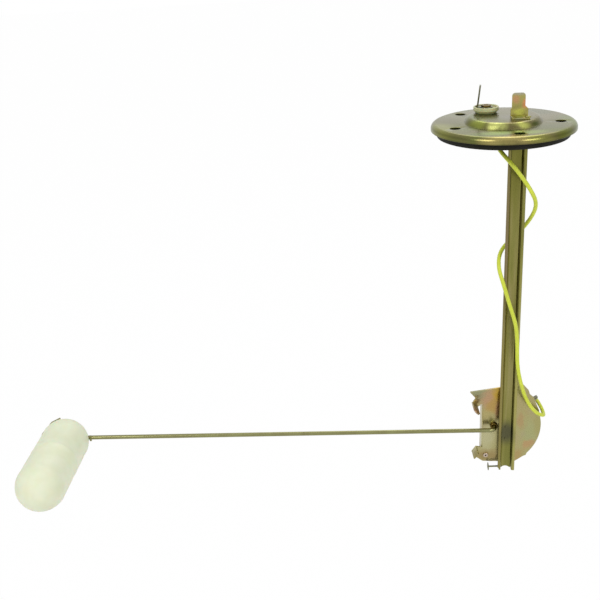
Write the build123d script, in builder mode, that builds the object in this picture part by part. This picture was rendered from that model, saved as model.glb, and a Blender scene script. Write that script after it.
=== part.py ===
from build123d import *
import math
import os

os.makedirs("parts", exist_ok=True)

# Fuel level sender, millimetres. +Z is up, out of the tank, and -Y is the side that the channel opens to.
# The origin is the middle of the bolt circle, on the underside of the gasket.

# Gasket and mounting flange
bolt_circle_d = 54.0
bolt_hole_r = 2.6
bolt_count = 5
bolt_start = 60.0
inner_land = 3.4
outer_land = 2.6
gasket_t = 5.4
gasket_r = bolt_circle_d / 2 + bolt_hole_r + outer_land
gasket_bore_r = bolt_circle_d / 2 - bolt_hole_r - inner_land
gasket_edge = 0.6
rim_gap = 1.6
flange_t = 1.2
flange_r = gasket_r + rim_gap + flange_t
rim_depth = 3.5
rim_roll = 2.4
plateau_top_r = 17.2
plateau_run = 1.7
plateau_base_r = plateau_top_r + plateau_run
plateau_h = 2.8
plateau_shoulder = 3.0
plateau_foot = 0.3

# Insulated terminal
terminal_inset = 5.64
terminal_angle = 127.3
terminal_x = (plateau_top_r - terminal_inset) * math.cos(math.radians(terminal_angle))
terminal_y = (plateau_top_r - terminal_inset) * math.sin(math.radians(terminal_angle))
insulator_r = 6.2
insulator_t = 3.0
insulator_seat = 2.1
insulator_seat_r = 5.1
insulator_chamfer = 0.7
inner_insulator_r = 3.7
inner_insulator_t = 1.6
terminal_hole_r = 2.9
rivet_r = 1.6
rivet_head_r = 2.4
rivet_head_t = 0.8
blade_w = 6.3
blade_t = 0.8
blade_h = 10.8
blade_lean = 6.5
blade_turn = -10.0
blade_offset = 4.2
tag_turn = -80.0
tag_t = 0.6
tag_w = 3.6
tag_l = 7.6
seat_gap = 0.03

# Earth terminal
earth_turn = -5.0
earth_x = 6.8
earth_y = -3.8
earth_t = 0.8
earth_foot_w = 8.6
earth_foot_l = 7.4
earth_shoulder_w = 8.3
earth_shoulder_h = 3.7
earth_shift = -0.45
earth_h = 11.3
earth_corner = 1.5

# Channel stem
stem_x = 5.55
stem_w = 7.5
stem_d = 4.5
stem_t = 0.9
stem_bend = 1.6
stem_lip = 0.85
stem_end_z = -187.6
lip_rise = 1.9
web_rise = 0.9
web_arch_r = 3.0
tongue_w = 2.0
tongue_fold = 1.8
tongue_t = 0.5
slot_gap = 0.1

# Foot pin
pin_r = 0.45
pin_head_r = 2.2
pin_head_t = 0.6
pin_reach = 6.3
pin_rise = 1.6

# Pivot and bracket plate
pivot_x = -1.0
pivot_z = -161.3
plate_y = -6.5
plate_t = 0.9
side_wall_d = 5.5
stop_reach = 7.0
lug_reach = 9.2
lug_w = 4.1

# Corners of the bracket plate's outline, from the pivot, with X to the right and the second value upwards
side_x = -7.3
side_top = 14.1
side_low = -13.4
lug_start = (-11.9, 15.5)
lug_stop = (-9.0, 12.65)
stop_root = (-9.7, -12.8)
stop_tip = (-12.0, -16.1)
right_high = (24.4, 8.7)
right_mid = (25.6, -1.3)
right_low = (18.65, -18.0)
top_edge = [(21.0, 17.2), (19.0, 19.0), (18.2, 21.6), (11.7, 29.4), (8.0, 29.4), (4.0, 25.1)]
flag_edge = [(-13.6, 21.8), (-10.35, 17.9)]
foot_edge = [(-10.3, -19.1), (-5.8, -22.4), (11.6, -23.5), (16.7, -20.0), (18.15, -19.4)]

# Pressed case
case_r = 22.2
case_flat = 6.3
case_shoulder = 16.7
case_top_angle = 58.0
case_d = 10.0
case_wall = 0.6
case_corner = 2.0
case_lip = 1.2

# Bearing, arm and float
wire_r = 1.15
bush_r = 1.65
bush_flange_r = 2.0
bush_flange_t = 0.8
bush_tail = 2.2
running_gap = 0.05
arm_y = -10.8
arm_rise = 1.05
arm_bend = 3.0
float_r = 13.0
float_body = 42.0
float_reach = 237.6
float_hole_setback = 4.7
float_turn = 1.1
float_tilt = 0.7
clinch_gap = 0.5
clinch_corner = 1.7
clinch_bend = 2.3
ear_l = 1.0
ear_w = 3.7
ear_drop = 0.5
ear_t = 1.3
arm_up = 34.0
arm_down = 48.0

# Wiper and resistance
washer_t = 0.4
hub_r = 2.7
hub_step_r = 1.9
hub_l = 4.0
wiper_t = 0.4
wiper_root_w = 4.6
wiper_tip_w = 2.4
contact_r = 1.1
contact_gap = 0.25
card_r = 18.2
card_t = 1.2
card_w = 5.6
turn_count = 48
turn_wire = 0.4
turn_depth = 0.18
winding_margin = 6.0
card_margin = 5.0
liner_t = 0.5
foot_w = 5.0
foot_t = 1.0
card_rivet_x = -4.2
card_rivet_z = -18.55
card_rivet_r = 0.9
card_rivet_head_r = 1.4
card_rivet_head_t = 0.5
clip_r = 3.2
clip_t = 0.5
spindle_tail = 1.4

# Insulated outlet of the case
outlet_angle = 31.4
outlet_bush_r = 2.2
outlet_bush_head = 0.9
outlet_tag_w = 2.6
outlet_tag_t = 0.5
outlet_reach = 28.2
outlet_y = -1.0
tail_foot_angle = 1.5
solder_r = 1.6
solder_h = 0.9
lead_r = 1.0
lead_drop = 5.5
lead_approach = 5.0
bend_share = 0.45

# Levels and places that follow from the sizes above
flange_under = gasket_t
flange_top = flange_under + flange_t
plateau_top = flange_top + plateau_h
plateau_under = plateau_top - flange_t
wall_shift = flange_t * (math.hypot(plateau_run, plateau_h) - plateau_run) / plateau_h
plate_back = plate_y + plate_t
case_back = plate_back + case_d
stem_front = plate_y - stem_d
liner_back = plate_back + liner_t
hub_front = plate_back + bush_tail + washer_t + seat_gap
card_front = liner_back + foot_t
card_in_r = card_r - card_t / 2
card_out_r = card_r + card_t / 2
winding_low = -(arm_up + arm_rise + winding_margin)
winding_high = arm_down - arm_rise + winding_margin

plate_plane = Plane(origin=(pivot_x, plate_y, pivot_z), x_dir=(1, 0, 0), z_dir=(0, -1, 0))
plate_back_plane = Plane(origin=(pivot_x, plate_back, pivot_z), x_dir=(1, 0, 0), z_dir=(0, -1, 0))


def pivot_plane(y):
    """A plane across the pivot axis at depth y, seen from the -Y side."""
    return Plane(origin=(pivot_x, y, pivot_z), x_dir=(1, 0, 0), z_dir=(0, -1, 0))


def polar(radius, angle):
    """A point of the pivot plane by its distance from the pivot and its angle in degrees."""
    return (radius * math.cos(math.radians(angle)), radius * math.sin(math.radians(angle)))


def arc_between(radius, start, end):
    """An arc round the pivot from one angle to another."""
    return ThreePointArc(polar(radius, start), polar(radius, (start + end) / 2), polar(radius, end))


# Gasket: a thick moulded ring with the same bolt holes as the flange
with BuildPart() as gasket:
    with BuildSketch():
        Circle(gasket_r)
        Circle(gasket_bore_r, mode=Mode.SUBTRACT)
        with PolarLocations(bolt_circle_d / 2, bolt_count, start_angle=bolt_start):
            Circle(bolt_hole_r, mode=Mode.SUBTRACT)
    extrude(amount=gasket_t)
    fillet(gasket.edges().filter_by(GeomType.CIRCLE).sort_by(SortBy.RADIUS)[-2:], gasket_edge)
gasket.part.label = "gasket"
export_step(gasket.part, "parts/gasket.step")


# Flange: one pressed disc with a raised plateau and a rolled rim
stem_left = stem_x - stem_w / 2
stem_right = stem_x + stem_w / 2
tongue_y = stem_front + tongue_w / 2
tongue_centres = [(stem_left + stem_t / 2, tongue_y), (stem_right - stem_t / 2, tongue_y)]
with BuildPart() as flange:
    with BuildSketch(Plane.XZ):
        with BuildLine():
            Polyline(
                (0, plateau_top),
                (plateau_top_r, plateau_top),
                (plateau_base_r, flange_top),
                (flange_r, flange_top),
                (flange_r, flange_top - rim_depth),
                (flange_r - flange_t, flange_top - rim_depth),
                (flange_r - flange_t, flange_under),
                (plateau_base_r - wall_shift, flange_under),
                (plateau_top_r - wall_shift, plateau_under),
                (0, plateau_under),
                close=True,
            )
        section = make_face()
        rim_corner = section.vertices().group_by(Axis.X)[-1].sort_by(Axis.Y)[-1]
        fillet(rim_corner, rim_roll)
    revolve(axis=Axis.Z)
    shoulder = flange.edges().filter_by(GeomType.CIRCLE)
    top_shoulder = shoulder.filter_by(lambda e: abs(e.radius - plateau_top_r) < slot_gap)
    inner_shoulder = shoulder.filter_by(lambda e: abs(e.radius - plateau_top_r + wall_shift) < slot_gap)
    low_shoulder = shoulder.filter_by(lambda e: abs(e.radius - plateau_base_r) < slot_gap)
    fillet(top_shoulder, plateau_shoulder)
    fillet(inner_shoulder, plateau_shoulder - flange_t)
    fillet(low_shoulder, plateau_foot)
    with BuildSketch(Plane.XY):
        with PolarLocations(bolt_circle_d / 2, bolt_count, start_angle=bolt_start):
            Circle(bolt_hole_r)
    extrude(amount=plateau_top, mode=Mode.SUBTRACT)
    with BuildSketch(Plane.XY):
        with Locations((terminal_x, terminal_y)):
            Circle(terminal_hole_r)
        with Locations(*tongue_centres):
            Rectangle(stem_t + 2 * slot_gap, tongue_w + 2 * slot_gap)
    extrude(amount=2 * plateau_top, mode=Mode.SUBTRACT)
flange.part.label = "flange"
export_step(flange.part, "parts/flange.step")


# Terminal insulator: the moulded washer on the plateau, with a spigot down into the flange hole
terminal_plane = Plane.XY.offset(plateau_top)
with BuildPart() as terminal_insulator:
    with BuildSketch(terminal_plane):
        with Locations((terminal_x, terminal_y)):
            Circle(insulator_r)
    extrude(amount=insulator_t)
    fillet(terminal_insulator.edges().group_by(Axis.Z)[-1], (insulator_t - insulator_seat) / 3)
    chamfer(terminal_insulator.edges().group_by(Axis.Z)[0], insulator_chamfer)
    with BuildSketch(terminal_plane.offset(insulator_seat)):
        with Locations((terminal_x, terminal_y)):
            Circle(insulator_seat_r)
    extrude(amount=insulator_t, mode=Mode.SUBTRACT)
    with BuildSketch(Plane.XY.offset(plateau_under)):
        with Locations((terminal_x, terminal_y)):
            Circle(terminal_hole_r - seat_gap)
    extrude(amount=flange_t + insulator_t / 2)
    with BuildSketch(Plane.XY.offset(plateau_under)):
        with Locations((terminal_x, terminal_y)):
            Circle(rivet_r + seat_gap)
    extrude(amount=flange_t + insulator_t, mode=Mode.SUBTRACT)
terminal_insulator.part.label = "terminal_insulator"
export_step(terminal_insulator.part, "parts/terminal_insulator.step")

# Inner insulator: the plain washer that keeps the tag off the flange's underside
inner_low = plateau_under - inner_insulator_t
with BuildPart() as inner_insulator:
    with BuildSketch(Plane.XY.offset(inner_low)):
        with Locations((terminal_x, terminal_y)):
            Circle(inner_insulator_r)
            Circle(rivet_r + seat_gap, mode=Mode.SUBTRACT)
    extrude(amount=inner_insulator_t)
inner_insulator.part.label = "inner_insulator"
export_step(inner_insulator.part, "parts/inner_insulator.step")

# Supply terminal: a flat foot under the rivet head, with the tab bent up at one end
blade_foot_z = plateau_top + insulator_seat
terminal_frame = Plane(origin=(terminal_x, terminal_y, blade_foot_z)).rotated((0, 0, blade_turn))
tip_cut = blade_w / 5
with BuildPart() as supply_terminal:
    with BuildSketch(terminal_frame):
        Circle(rivet_head_r + blade_t)
        with Locations((-blade_offset / 2, 0)):
            Rectangle(blade_offset + blade_t, 2 * rivet_head_r)
        Circle(rivet_r + seat_gap, mode=Mode.SUBTRACT)
    extrude(amount=blade_t)
    lean = math.radians(blade_lean)
    tab_plane = Plane(
        origin=terminal_frame.from_local_coords((-blade_offset, 0, blade_t / 2)),
        x_dir=terminal_frame.y_dir,
        z_dir=terminal_frame.x_dir * math.cos(lean) - Vector(0, 0, math.sin(lean)),
    )
    with BuildSketch(tab_plane):
        with BuildLine():
            Polyline(
                (-rivet_head_r, 0),
                (-blade_w / 2, blade_w / 4),
                (-blade_w / 2, blade_h - tip_cut),
                (-blade_w / 2 + tip_cut, blade_h),
                (blade_w / 2 - tip_cut, blade_h),
                (blade_w / 2, blade_h - tip_cut),
                (blade_w / 2, blade_w / 4),
                (rivet_head_r, 0),
                close=True,
            )
        make_face()
    extrude(amount=blade_t / 2, both=True)
supply_terminal.part.label = "supply_terminal"
export_step(supply_terminal.part, "parts/supply_terminal.step")

# Supply tag: the solder tag on the inside end of the rivet
tag_top = inner_low
tag_frame = Plane(origin=(terminal_x, terminal_y, tag_top - tag_t)).rotated((0, 0, tag_turn))
with BuildPart() as supply_tag:
    with BuildSketch(tag_frame):
        Circle(inner_insulator_r - seat_gap - tag_t)
        with Locations((tag_l / 2, 0)):
            SlotOverall(tag_l + tag_w, tag_w)
        Circle(rivet_r + seat_gap, mode=Mode.SUBTRACT)
    extrude(amount=tag_t)
supply_tag.part.label = "supply_tag"
export_step(supply_tag.part, "parts/supply_tag.step")

# Terminal rivet: one tubular rivet through the whole stack, spread at both ends
rivet_low = tag_top - tag_t
rivet_high = blade_foot_z + blade_t
with BuildPart() as terminal_rivet:
    with BuildSketch(Plane.XY.offset(rivet_low)):
        with Locations((terminal_x, terminal_y)):
            Circle(rivet_r)
    extrude(amount=rivet_high - rivet_low)
    with BuildSketch(Plane.XY.offset(rivet_high)):
        with Locations((terminal_x, terminal_y)):
            Circle(rivet_head_r)
    extrude(amount=rivet_head_t)
    with BuildSketch(Plane.XY.offset(rivet_low - rivet_head_t)):
        with Locations((terminal_x, terminal_y)):
            Circle(rivet_head_r)
    extrude(amount=rivet_head_t)
    outer_rings = terminal_rivet.edges().group_by(Axis.Z)
    fillet([outer_rings[0], outer_rings[-1]], rivet_head_t / 2)
    with BuildSketch(Plane.XY.offset(rivet_low - rivet_head_t)):
        with Locations((terminal_x, terminal_y)):
            Circle(rivet_r / 2)
    extrude(amount=rivet_high - rivet_low + 2 * rivet_head_t, mode=Mode.SUBTRACT)
terminal_rivet.part.label = "terminal_rivet"
export_step(terminal_rivet.part, "parts/terminal_rivet.step")


# Earth tab: a foot clinched down by the stem's tongues, with the tab bent up at its back edge
earth_frame = Plane(origin=(earth_x, earth_y, plateau_top)).rotated((0, 0, earth_turn))
earth_tab_plane = Plane(origin=earth_frame.origin, x_dir=earth_frame.x_dir, z_dir=-earth_frame.y_dir)
with BuildPart() as earth_tab:
    with BuildSketch(earth_frame):
        with Locations((0, -earth_foot_l / 2)):
            RectangleRounded(earth_foot_w, earth_foot_l + earth_t, earth_t / 2)
    extrude(amount=earth_t)
    with BuildSketch(earth_tab_plane):
        blade_left = earth_shift - blade_w / 2
        blade_right = earth_shift + blade_w / 2
        with BuildLine():
            Polyline(
                (-earth_shoulder_w / 2, 0),
                (-earth_shoulder_w / 2, earth_shoulder_h),
                (blade_left, earth_shoulder_h + earth_shoulder_w / 2 + blade_left),
                (blade_left, earth_h),
                (blade_right, earth_h),
                (blade_right, earth_shoulder_h + earth_shoulder_w / 2 - blade_right),
                (earth_shoulder_w / 2, earth_shoulder_h),
                (earth_shoulder_w / 2, 0),
                close=True,
            )
        tab = make_face()
        fillet(tab.vertices().group_by(Axis.Y)[-1], earth_corner)
    extrude(amount=earth_t / 2, both=True)
    with BuildSketch(Plane.XY.offset(plateau_top)):
        with Locations(*tongue_centres):
            Rectangle(stem_t + 2 * slot_gap, tongue_w + 2 * slot_gap)
    extrude(amount=earth_t, mode=Mode.SUBTRACT)
earth_tab.part.label = "earth_tab"
export_step(earth_tab.part, "parts/earth_tab.step")


# Stem: a folded channel, with lips turned out along both edges and a tongue folded over above each side
tongue_low = plateau_top + earth_t
with BuildPart() as stem:
    with BuildSketch(Plane.XY.offset(stem_end_z)):
        with BuildLine():
            Polyline(
                (stem_left - stem_lip, stem_front),
                (stem_left - stem_lip, stem_front + stem_t),
                (stem_left, stem_front + stem_t),
                (stem_left, plate_y),
                (stem_right, plate_y),
                (stem_right, stem_front + stem_t),
                (stem_right + stem_lip, stem_front + stem_t),
                (stem_right + stem_lip, stem_front),
                (stem_right - stem_t, stem_front),
                (stem_right - stem_t, plate_y - stem_t),
                (stem_left + stem_t, plate_y - stem_t),
                (stem_left + stem_t, stem_front),
                close=True,
            )
        channel = make_face()
        corner_rows = channel.vertices().group_by(Axis.Y)
        fillet(corner_rows[-1], stem_bend)
        fillet(corner_rows[-2], stem_bend - stem_t)
        fillet(corner_rows[0].sort_by(Axis.X)[1:3], stem_t)
    extrude(amount=plateau_under - stem_end_z)
    with BuildSketch(Plane.XY.offset(plateau_under)):
        with Locations(*tongue_centres):
            Rectangle(stem_t, tongue_w)
    extrude(amount=tongue_low + tongue_t - plateau_under)
    with BuildSketch(Plane.XY.offset(tongue_low)):
        with Locations(*[(x + (stem_t + tongue_fold) / 2, tongue_y) for x, y in tongue_centres]):
            Rectangle(tongue_fold, tongue_w)
    extrude(amount=tongue_t)
    with BuildSketch(Plane.YZ.offset(stem_left - stem_lip)):
        with Locations((plate_y - stem_d / 2, stem_end_z + pin_rise)):
            Circle(pin_r + seat_gap)
    extrude(amount=stem_t + stem_lip + slot_gap, mode=Mode.SUBTRACT)
    with BuildSketch(Plane.XY.offset(stem_end_z)):
        with Locations((stem_left - stem_lip, stem_front)):
            Rectangle(2 * (stem_lip + 2 * stem_t), 2 * (stem_t + seat_gap))
    extrude(amount=lip_rise, mode=Mode.SUBTRACT)
    with BuildSketch(Plane.XZ.offset(-plate_y)):
        with Locations((stem_x, stem_end_z + web_rise - web_arch_r)):
            Circle(web_arch_r)
    extrude(amount=stem_t, mode=Mode.SUBTRACT)
stem.part.label = "stem"
export_step(stem.part, "parts/stem.step")

# Foot pin: a headed pin through the channel's left side, close to its lower end
with BuildPart() as foot_pin:
    with BuildSketch(Plane.YZ.offset(stem_left - pin_reach)):
        with Locations((plate_y - stem_d / 2, stem_end_z + pin_rise)):
            Circle(pin_head_r)
    extrude(amount=pin_head_t)
    with BuildSketch(Plane.YZ.offset(stem_left - pin_reach)):
        with Locations((plate_y - stem_d / 2, stem_end_z + pin_rise)):
            Circle(pin_r)
    extrude(amount=pin_reach + 2 * stem_t)
foot_pin.part.label = "foot_pin"
export_step(foot_pin.part, "parts/foot_pin.step")


# Bracket plate: the front of the case, with a flag, a bent lug, a bent stop and a folded side wall
lug_run = Vector(*lug_stop) - Vector(*lug_start)
lug_plane = Plane(
    origin=(pivot_x + lug_start[0], plate_back, pivot_z + lug_start[1]),
    x_dir=(lug_run.X, 0, lug_run.Y),
    z_dir=(lug_run.Y, 0, -lug_run.X),
)
with BuildPart() as bracket_plate:
    with BuildSketch(plate_plane):
        with BuildLine():
            Polyline(
                right_high,
                *top_edge,
                *flag_edge,
                lug_start,
                lug_stop,
                (side_x, side_top),
                (side_x, side_low),
                stop_root,
                stop_tip,
                *foot_edge,
                right_low,
            )
            ThreePointArc(right_low, right_mid, right_high)
        make_face()
        Circle(bush_r + seat_gap, mode=Mode.SUBTRACT)
        with Locations((card_rivet_x, card_rivet_z)):
            Circle(card_rivet_r + seat_gap, mode=Mode.SUBTRACT)
    extrude(amount=-plate_t)
    with BuildSketch(plate_back_plane):
        with BuildLine():
            stop_fold = Line(stop_root, stop_tip)
            stop_side = Line(stop_tip, stop_tip + stop_fold.tangent_at(0).rotate(Axis.Z, 90) * plate_t)
            stop_back = Line(stop_side @ 1, stop_root + stop_fold.tangent_at(0).rotate(Axis.Z, 90) * plate_t)
            Line(stop_back @ 1, stop_root)
        make_face()
    extrude(amount=plate_t + stop_reach)
    with BuildSketch(lug_plane):
        with Locations((lug_run.length - lug_w / 2, (plate_t + lug_reach - lug_w / 2) / 2)):
            Rectangle(lug_w, plate_t + lug_reach - lug_w / 2)
        with Locations((lug_run.length - lug_w / 2, plate_t + lug_reach - lug_w / 2)):
            Circle(lug_w / 2)
    extrude(amount=plate_t)
    with BuildSketch(plate_plane):
        with Locations((side_x + plate_t / 2, (side_top + side_low) / 2)):
            Rectangle(plate_t, side_top - side_low)
    extrude(amount=-side_wall_d - plate_t)
    fold = bracket_plate.edges().filter_by(Axis.Z).filter_by(
        lambda e: abs(e.center().X - pivot_x - side_x) + abs(e.center().Y - plate_y) < slot_gap
    )
    fillet(fold, plate_t)
bracket_plate.part.label = "bracket_plate"
export_step(bracket_plate.part, "parts/bracket_plate.step")


def case_outline(grow, inset=0.0):
    """The case's outline, with its round side and top grown and its flat left side moved inwards."""
    radius = case_r + grow
    flat = inset - case_flat
    arc = arc_between(radius, -math.degrees(math.acos(flat / radius)), case_top_angle)
    Polyline(arc @ 1, (flat, case_shoulder + grow), arc @ 0)


# Case: a pressed pan with a lip that seats on the back of the bracket plate
with BuildPart() as case:
    with BuildSketch(plate_back_plane):
        with BuildLine():
            case_outline(0)
        make_face()
    extrude(amount=-case_d)
    fillet(case.faces().sort_by(Axis.Y)[-1].edges(), case_corner)
    offset(amount=-case_wall, openings=case.faces().sort_by(Axis.Y)[0])
    with BuildSketch(plate_back_plane):
        with BuildLine():
            case_outline(case_lip)
        make_face()
        with BuildLine():
            case_outline(-case_wall, case_wall)
        make_face(mode=Mode.SUBTRACT)
    extrude(amount=-case_wall)
    with BuildSketch(pivot_plane(case_back)):
        Circle(wire_r + running_gap)
    extrude(amount=case_corner, mode=Mode.SUBTRACT)
    outlet_dir = Vector(math.cos(math.radians(outlet_angle)), 0, math.sin(math.radians(outlet_angle)))
    outlet_plane = Plane(
        origin=Vector(pivot_x, outlet_y, pivot_z) + outlet_dir * (case_r - 2 * case_corner),
        x_dir=(0, 1, 0),
        z_dir=outlet_dir,
    )
    with BuildSketch(outlet_plane):
        Circle(outlet_bush_r + seat_gap)
    extrude(amount=3 * case_corner, mode=Mode.SUBTRACT)
case.part.label = "case"
export_step(case.part, "parts/case.step")

# Insulating liner: a fibre sheet on the back of the plate, inside the case
with BuildPart() as insulating_liner:
    with BuildSketch(plate_back_plane):
        with BuildLine():
            case_outline(-case_wall - slot_gap, case_wall + slot_gap)
        make_face()
        Circle(bush_flange_r + slot_gap, mode=Mode.SUBTRACT)
        with Locations((card_rivet_x, card_rivet_z)):
            Circle(card_rivet_r + seat_gap, mode=Mode.SUBTRACT)
    extrude(amount=-liner_t)
insulating_liner.part.label = "insulating_liner"
export_step(insulating_liner.part, "parts/insulating_liner.step")

# Card former: a curved strip round the pivot with a foot at its lower end for the rivet
foot_angle = math.degrees(math.atan2(card_rivet_z, card_rivet_x))
card_low = foot_angle + card_margin
card_high = winding_high + 2 * card_margin
with BuildPart() as card_former:
    with BuildSketch(pivot_plane(liner_back)):
        with BuildLine():
            outer = arc_between(card_out_r, card_low, card_high)
            inner = arc_between(card_in_r, card_low, card_high)
            Line(outer @ 0, inner @ 0)
            Line(outer @ 1, inner @ 1)
        make_face()
    extrude(amount=-foot_t - card_w)
    with BuildSketch(pivot_plane(liner_back)):
        with Locations((card_rivet_x, card_rivet_z)):
            Circle(foot_w / 2 - slot_gap)
        with Locations(((card_rivet_x + polar(card_r, card_low)[0]) / 2, card_rivet_z)):
            Rectangle(foot_w / 2 + card_t, foot_w / 2)
        with BuildLine():
            case_outline(-case_wall - slot_gap, case_wall + slot_gap)
        make_face(mode=Mode.INTERSECT)
        with Locations((card_rivet_x, card_rivet_z)):
            Circle(card_rivet_r + seat_gap, mode=Mode.SUBTRACT)
    extrude(amount=-foot_t)
card_former.part.label = "card_former"
export_step(card_former.part, "parts/card_former.step")


# Resistance winding: close turns of wire round the card, each one a ridge on the sleeve's two long faces
turn_step = (winding_high - winding_low) / turn_count


def winding_edge(radius, depth):
    """A ridged line round the pivot, one ridge for each turn of wire."""
    valleys = [winding_low + turn * turn_step for turn in range(turn_count + 1)]
    ridges = [polar(radius + depth, valley + turn_step / 2) for valley in valleys[:-1]]
    line = [polar(radius, valleys[0])]
    for ridge, valley in zip(ridges, valleys[1:]):
        line += [ridge, polar(radius, valley)]
    Polyline(*line)


winding_out_r = card_out_r + turn_wire - turn_depth
winding_in_r = card_in_r - turn_wire + turn_depth
with BuildPart() as resistance_winding:
    with BuildSketch(pivot_plane(card_front - turn_wire)):
        with BuildLine():
            winding_edge(winding_out_r, turn_depth)
            winding_edge(winding_in_r, -turn_depth)
            Line(polar(winding_in_r, winding_low), polar(winding_out_r, winding_low))
            Line(polar(winding_in_r, winding_high), polar(winding_out_r, winding_high))
        make_face()
    extrude(amount=-card_w - 2 * turn_wire)
    with BuildSketch(pivot_plane(liner_back)):
        with BuildLine():
            outer = arc_between(card_out_r, card_low, card_high)
            inner = arc_between(card_in_r, card_low, card_high)
            Line(outer @ 0, inner @ 0)
            Line(outer @ 1, inner @ 1)
        make_face()
    extrude(amount=-foot_t - card_w, mode=Mode.SUBTRACT)
resistance_winding.part.label = "resistance_winding"
export_step(resistance_winding.part, "parts/resistance_winding.step")

# Card rivet: an eyelet from the plate's front through the liner and the former's foot
with BuildPart() as card_rivet:
    with BuildSketch(plate_plane):
        with Locations((card_rivet_x, card_rivet_z)):
            Circle(card_rivet_head_r)
    extrude(amount=card_rivet_head_t)
    fillet(card_rivet.edges().group_by(Axis.Y)[0], card_rivet_head_t / 2)
    with BuildSketch(plate_plane):
        with Locations((card_rivet_x, card_rivet_z)):
            Circle(card_rivet_r)
    extrude(amount=-plate_t - liner_t - foot_t)
    with BuildSketch(pivot_plane(card_front)):
        with Locations((card_rivet_x, card_rivet_z)):
            Circle(card_rivet_head_r)
    extrude(amount=-card_rivet_head_t)
    with BuildSketch(pivot_plane(plate_y - card_rivet_head_t)):
        with Locations((card_rivet_x, card_rivet_z)):
            Circle(card_rivet_r / 2)
    extrude(amount=-plate_t - liner_t - foot_t - 2 * card_rivet_head_t, mode=Mode.SUBTRACT)
card_rivet.part.label = "card_rivet"
export_step(card_rivet.part, "parts/card_rivet.step")

# Outlet bush: the insulator in the case wall
tail_r = case_r - case_wall - 3 * outlet_tag_t
bush_start = tail_r + outlet_tag_t
with BuildPart() as outlet_bush:
    with BuildSketch(Plane(
        origin=Vector(pivot_x, outlet_y, pivot_z) + outlet_dir * bush_start,
        x_dir=(0, 1, 0),
        z_dir=outlet_dir,
    )):
        Circle(outlet_bush_r)
        Rectangle(outlet_tag_w + 2 * seat_gap, outlet_tag_t + 2 * seat_gap, mode=Mode.SUBTRACT)
    extrude(amount=case_r + outlet_bush_head - bush_start)
outlet_bush.part.label = "outlet_bush"
export_step(outlet_bush.part, "parts/outlet_bush.step")

# Outlet tag: straight out through the bush, with a tail inside that meets the end of the card
with BuildPart() as outlet_tag:
    with BuildSketch(Plane(
        origin=Vector(pivot_x, outlet_y, pivot_z) + outlet_dir * tail_r,
        x_dir=(0, 1, 0),
        z_dir=outlet_dir,
    )):
        Rectangle(outlet_tag_w, outlet_tag_t)
    extrude(amount=outlet_reach - tail_r)
    with BuildSketch(pivot_plane(outlet_y - outlet_tag_w / 2)):
        with BuildLine():
            tail_end = winding_high + card_margin
            outer = arc_between(tail_r + outlet_tag_t, outlet_angle, tail_end)
            inner = arc_between(tail_r, outlet_angle, tail_end)
            Line(outer @ 0, inner @ 0)
            Line(outer @ 1, inner @ 1)
        make_face()
        with BuildLine():
            drop_out = arc_between(tail_r + outlet_tag_t, tail_end, tail_end + tail_foot_angle)
            drop_in = arc_between(card_out_r, tail_end, tail_end + tail_foot_angle)
            Line(drop_out @ 0, drop_in @ 0)
            Line(drop_out @ 1, drop_in @ 1)
        make_face()
    extrude(amount=-outlet_tag_w)
outlet_tag.part.label = "outlet_tag"
export_step(outlet_tag.part, "parts/outlet_tag.step")


# Pivot bush: a shouldered brass bearing in the plate
with BuildPart() as pivot_bush:
    with BuildSketch(plate_plane):
        Circle(bush_flange_r)
    extrude(amount=bush_flange_t)
    with BuildSketch(plate_plane):
        Circle(bush_r)
    extrude(amount=-plate_t - bush_tail)
    with BuildSketch(pivot_plane(plate_y - bush_flange_t)):
        Circle(wire_r + running_gap)
    extrude(amount=-plate_t - bush_tail - bush_flange_t, mode=Mode.SUBTRACT)
pivot_bush.part.label = "pivot_bush"
export_step(pivot_bush.part, "parts/pivot_bush.step")


# Float arm: one round wire, cranked through the bush at one end and clinched round the float at the other
arm_dir = Vector(-math.cos(math.radians(arm_rise)), 0, math.sin(math.radians(arm_rise)))
arm_side = Vector(arm_dir.Z, 0, -arm_dir.X)
elbow = Vector(pivot_x, arm_y, pivot_z)
spindle_end = Vector(pivot_x, case_back + clip_t + spindle_tail, pivot_z)
float_middle = elbow + arm_dir * float_reach
float_turned = math.radians(float_turn)
float_tilted = math.radians(float_tilt)
float_axis = Vector(math.sin(float_turned), math.cos(float_turned), -math.sin(float_tilted)).normalized()
float_side = float_axis.cross(Vector(0, 0, 1)).normalized()
float_centre = float_middle - float_axis * float_hole_setback
wrap_r = float_r + clinch_gap + wire_r


def round_float(across, away, above):
    """A point of the clinch, off the far end of the float, by its direction from that end's centre."""
    direction = Vector(0, away, 0) + arm_dir * across + arm_side * above
    return float_centre + direction.normalized() * wrap_r


exit_reach = math.sqrt(wrap_r**2 - float_hole_setback**2)
clinch = [
    float_middle + arm_dir * (exit_reach + wire_r),
    round_float(across=0.80, away=0.56, above=0.21),
    round_float(across=0.59, away=0.68, above=0.43),
    round_float(across=0.29, away=0.79, above=0.54),
]
ear_plane = Plane(
    origin=float_middle - arm_dir * (math.sqrt(float_r**2 - float_hole_setback**2) + ear_l),
    x_dir=(0, -1, 0),
    z_dir=arm_dir,
)
with BuildPart() as float_arm:
    with BuildLine():
        FilletPolyline(
            spindle_end,
            elbow,
            *clinch,
            radius=[arm_bend, clinch_corner, clinch_bend, clinch_bend],
        )
    with BuildSketch(Plane(origin=spindle_end, z_dir=(0, -1, 0))):
        Circle(wire_r)
    sweep()
    with BuildSketch(ear_plane):
        with Locations((0, -ear_drop)):
            Ellipse(ear_t / 2, ear_w / 2)
    extrude(amount=ear_l / 2, both=True)
float_arm.part.label = "float_arm"
export_step(float_arm.part, "parts/float_arm.step")

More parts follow.
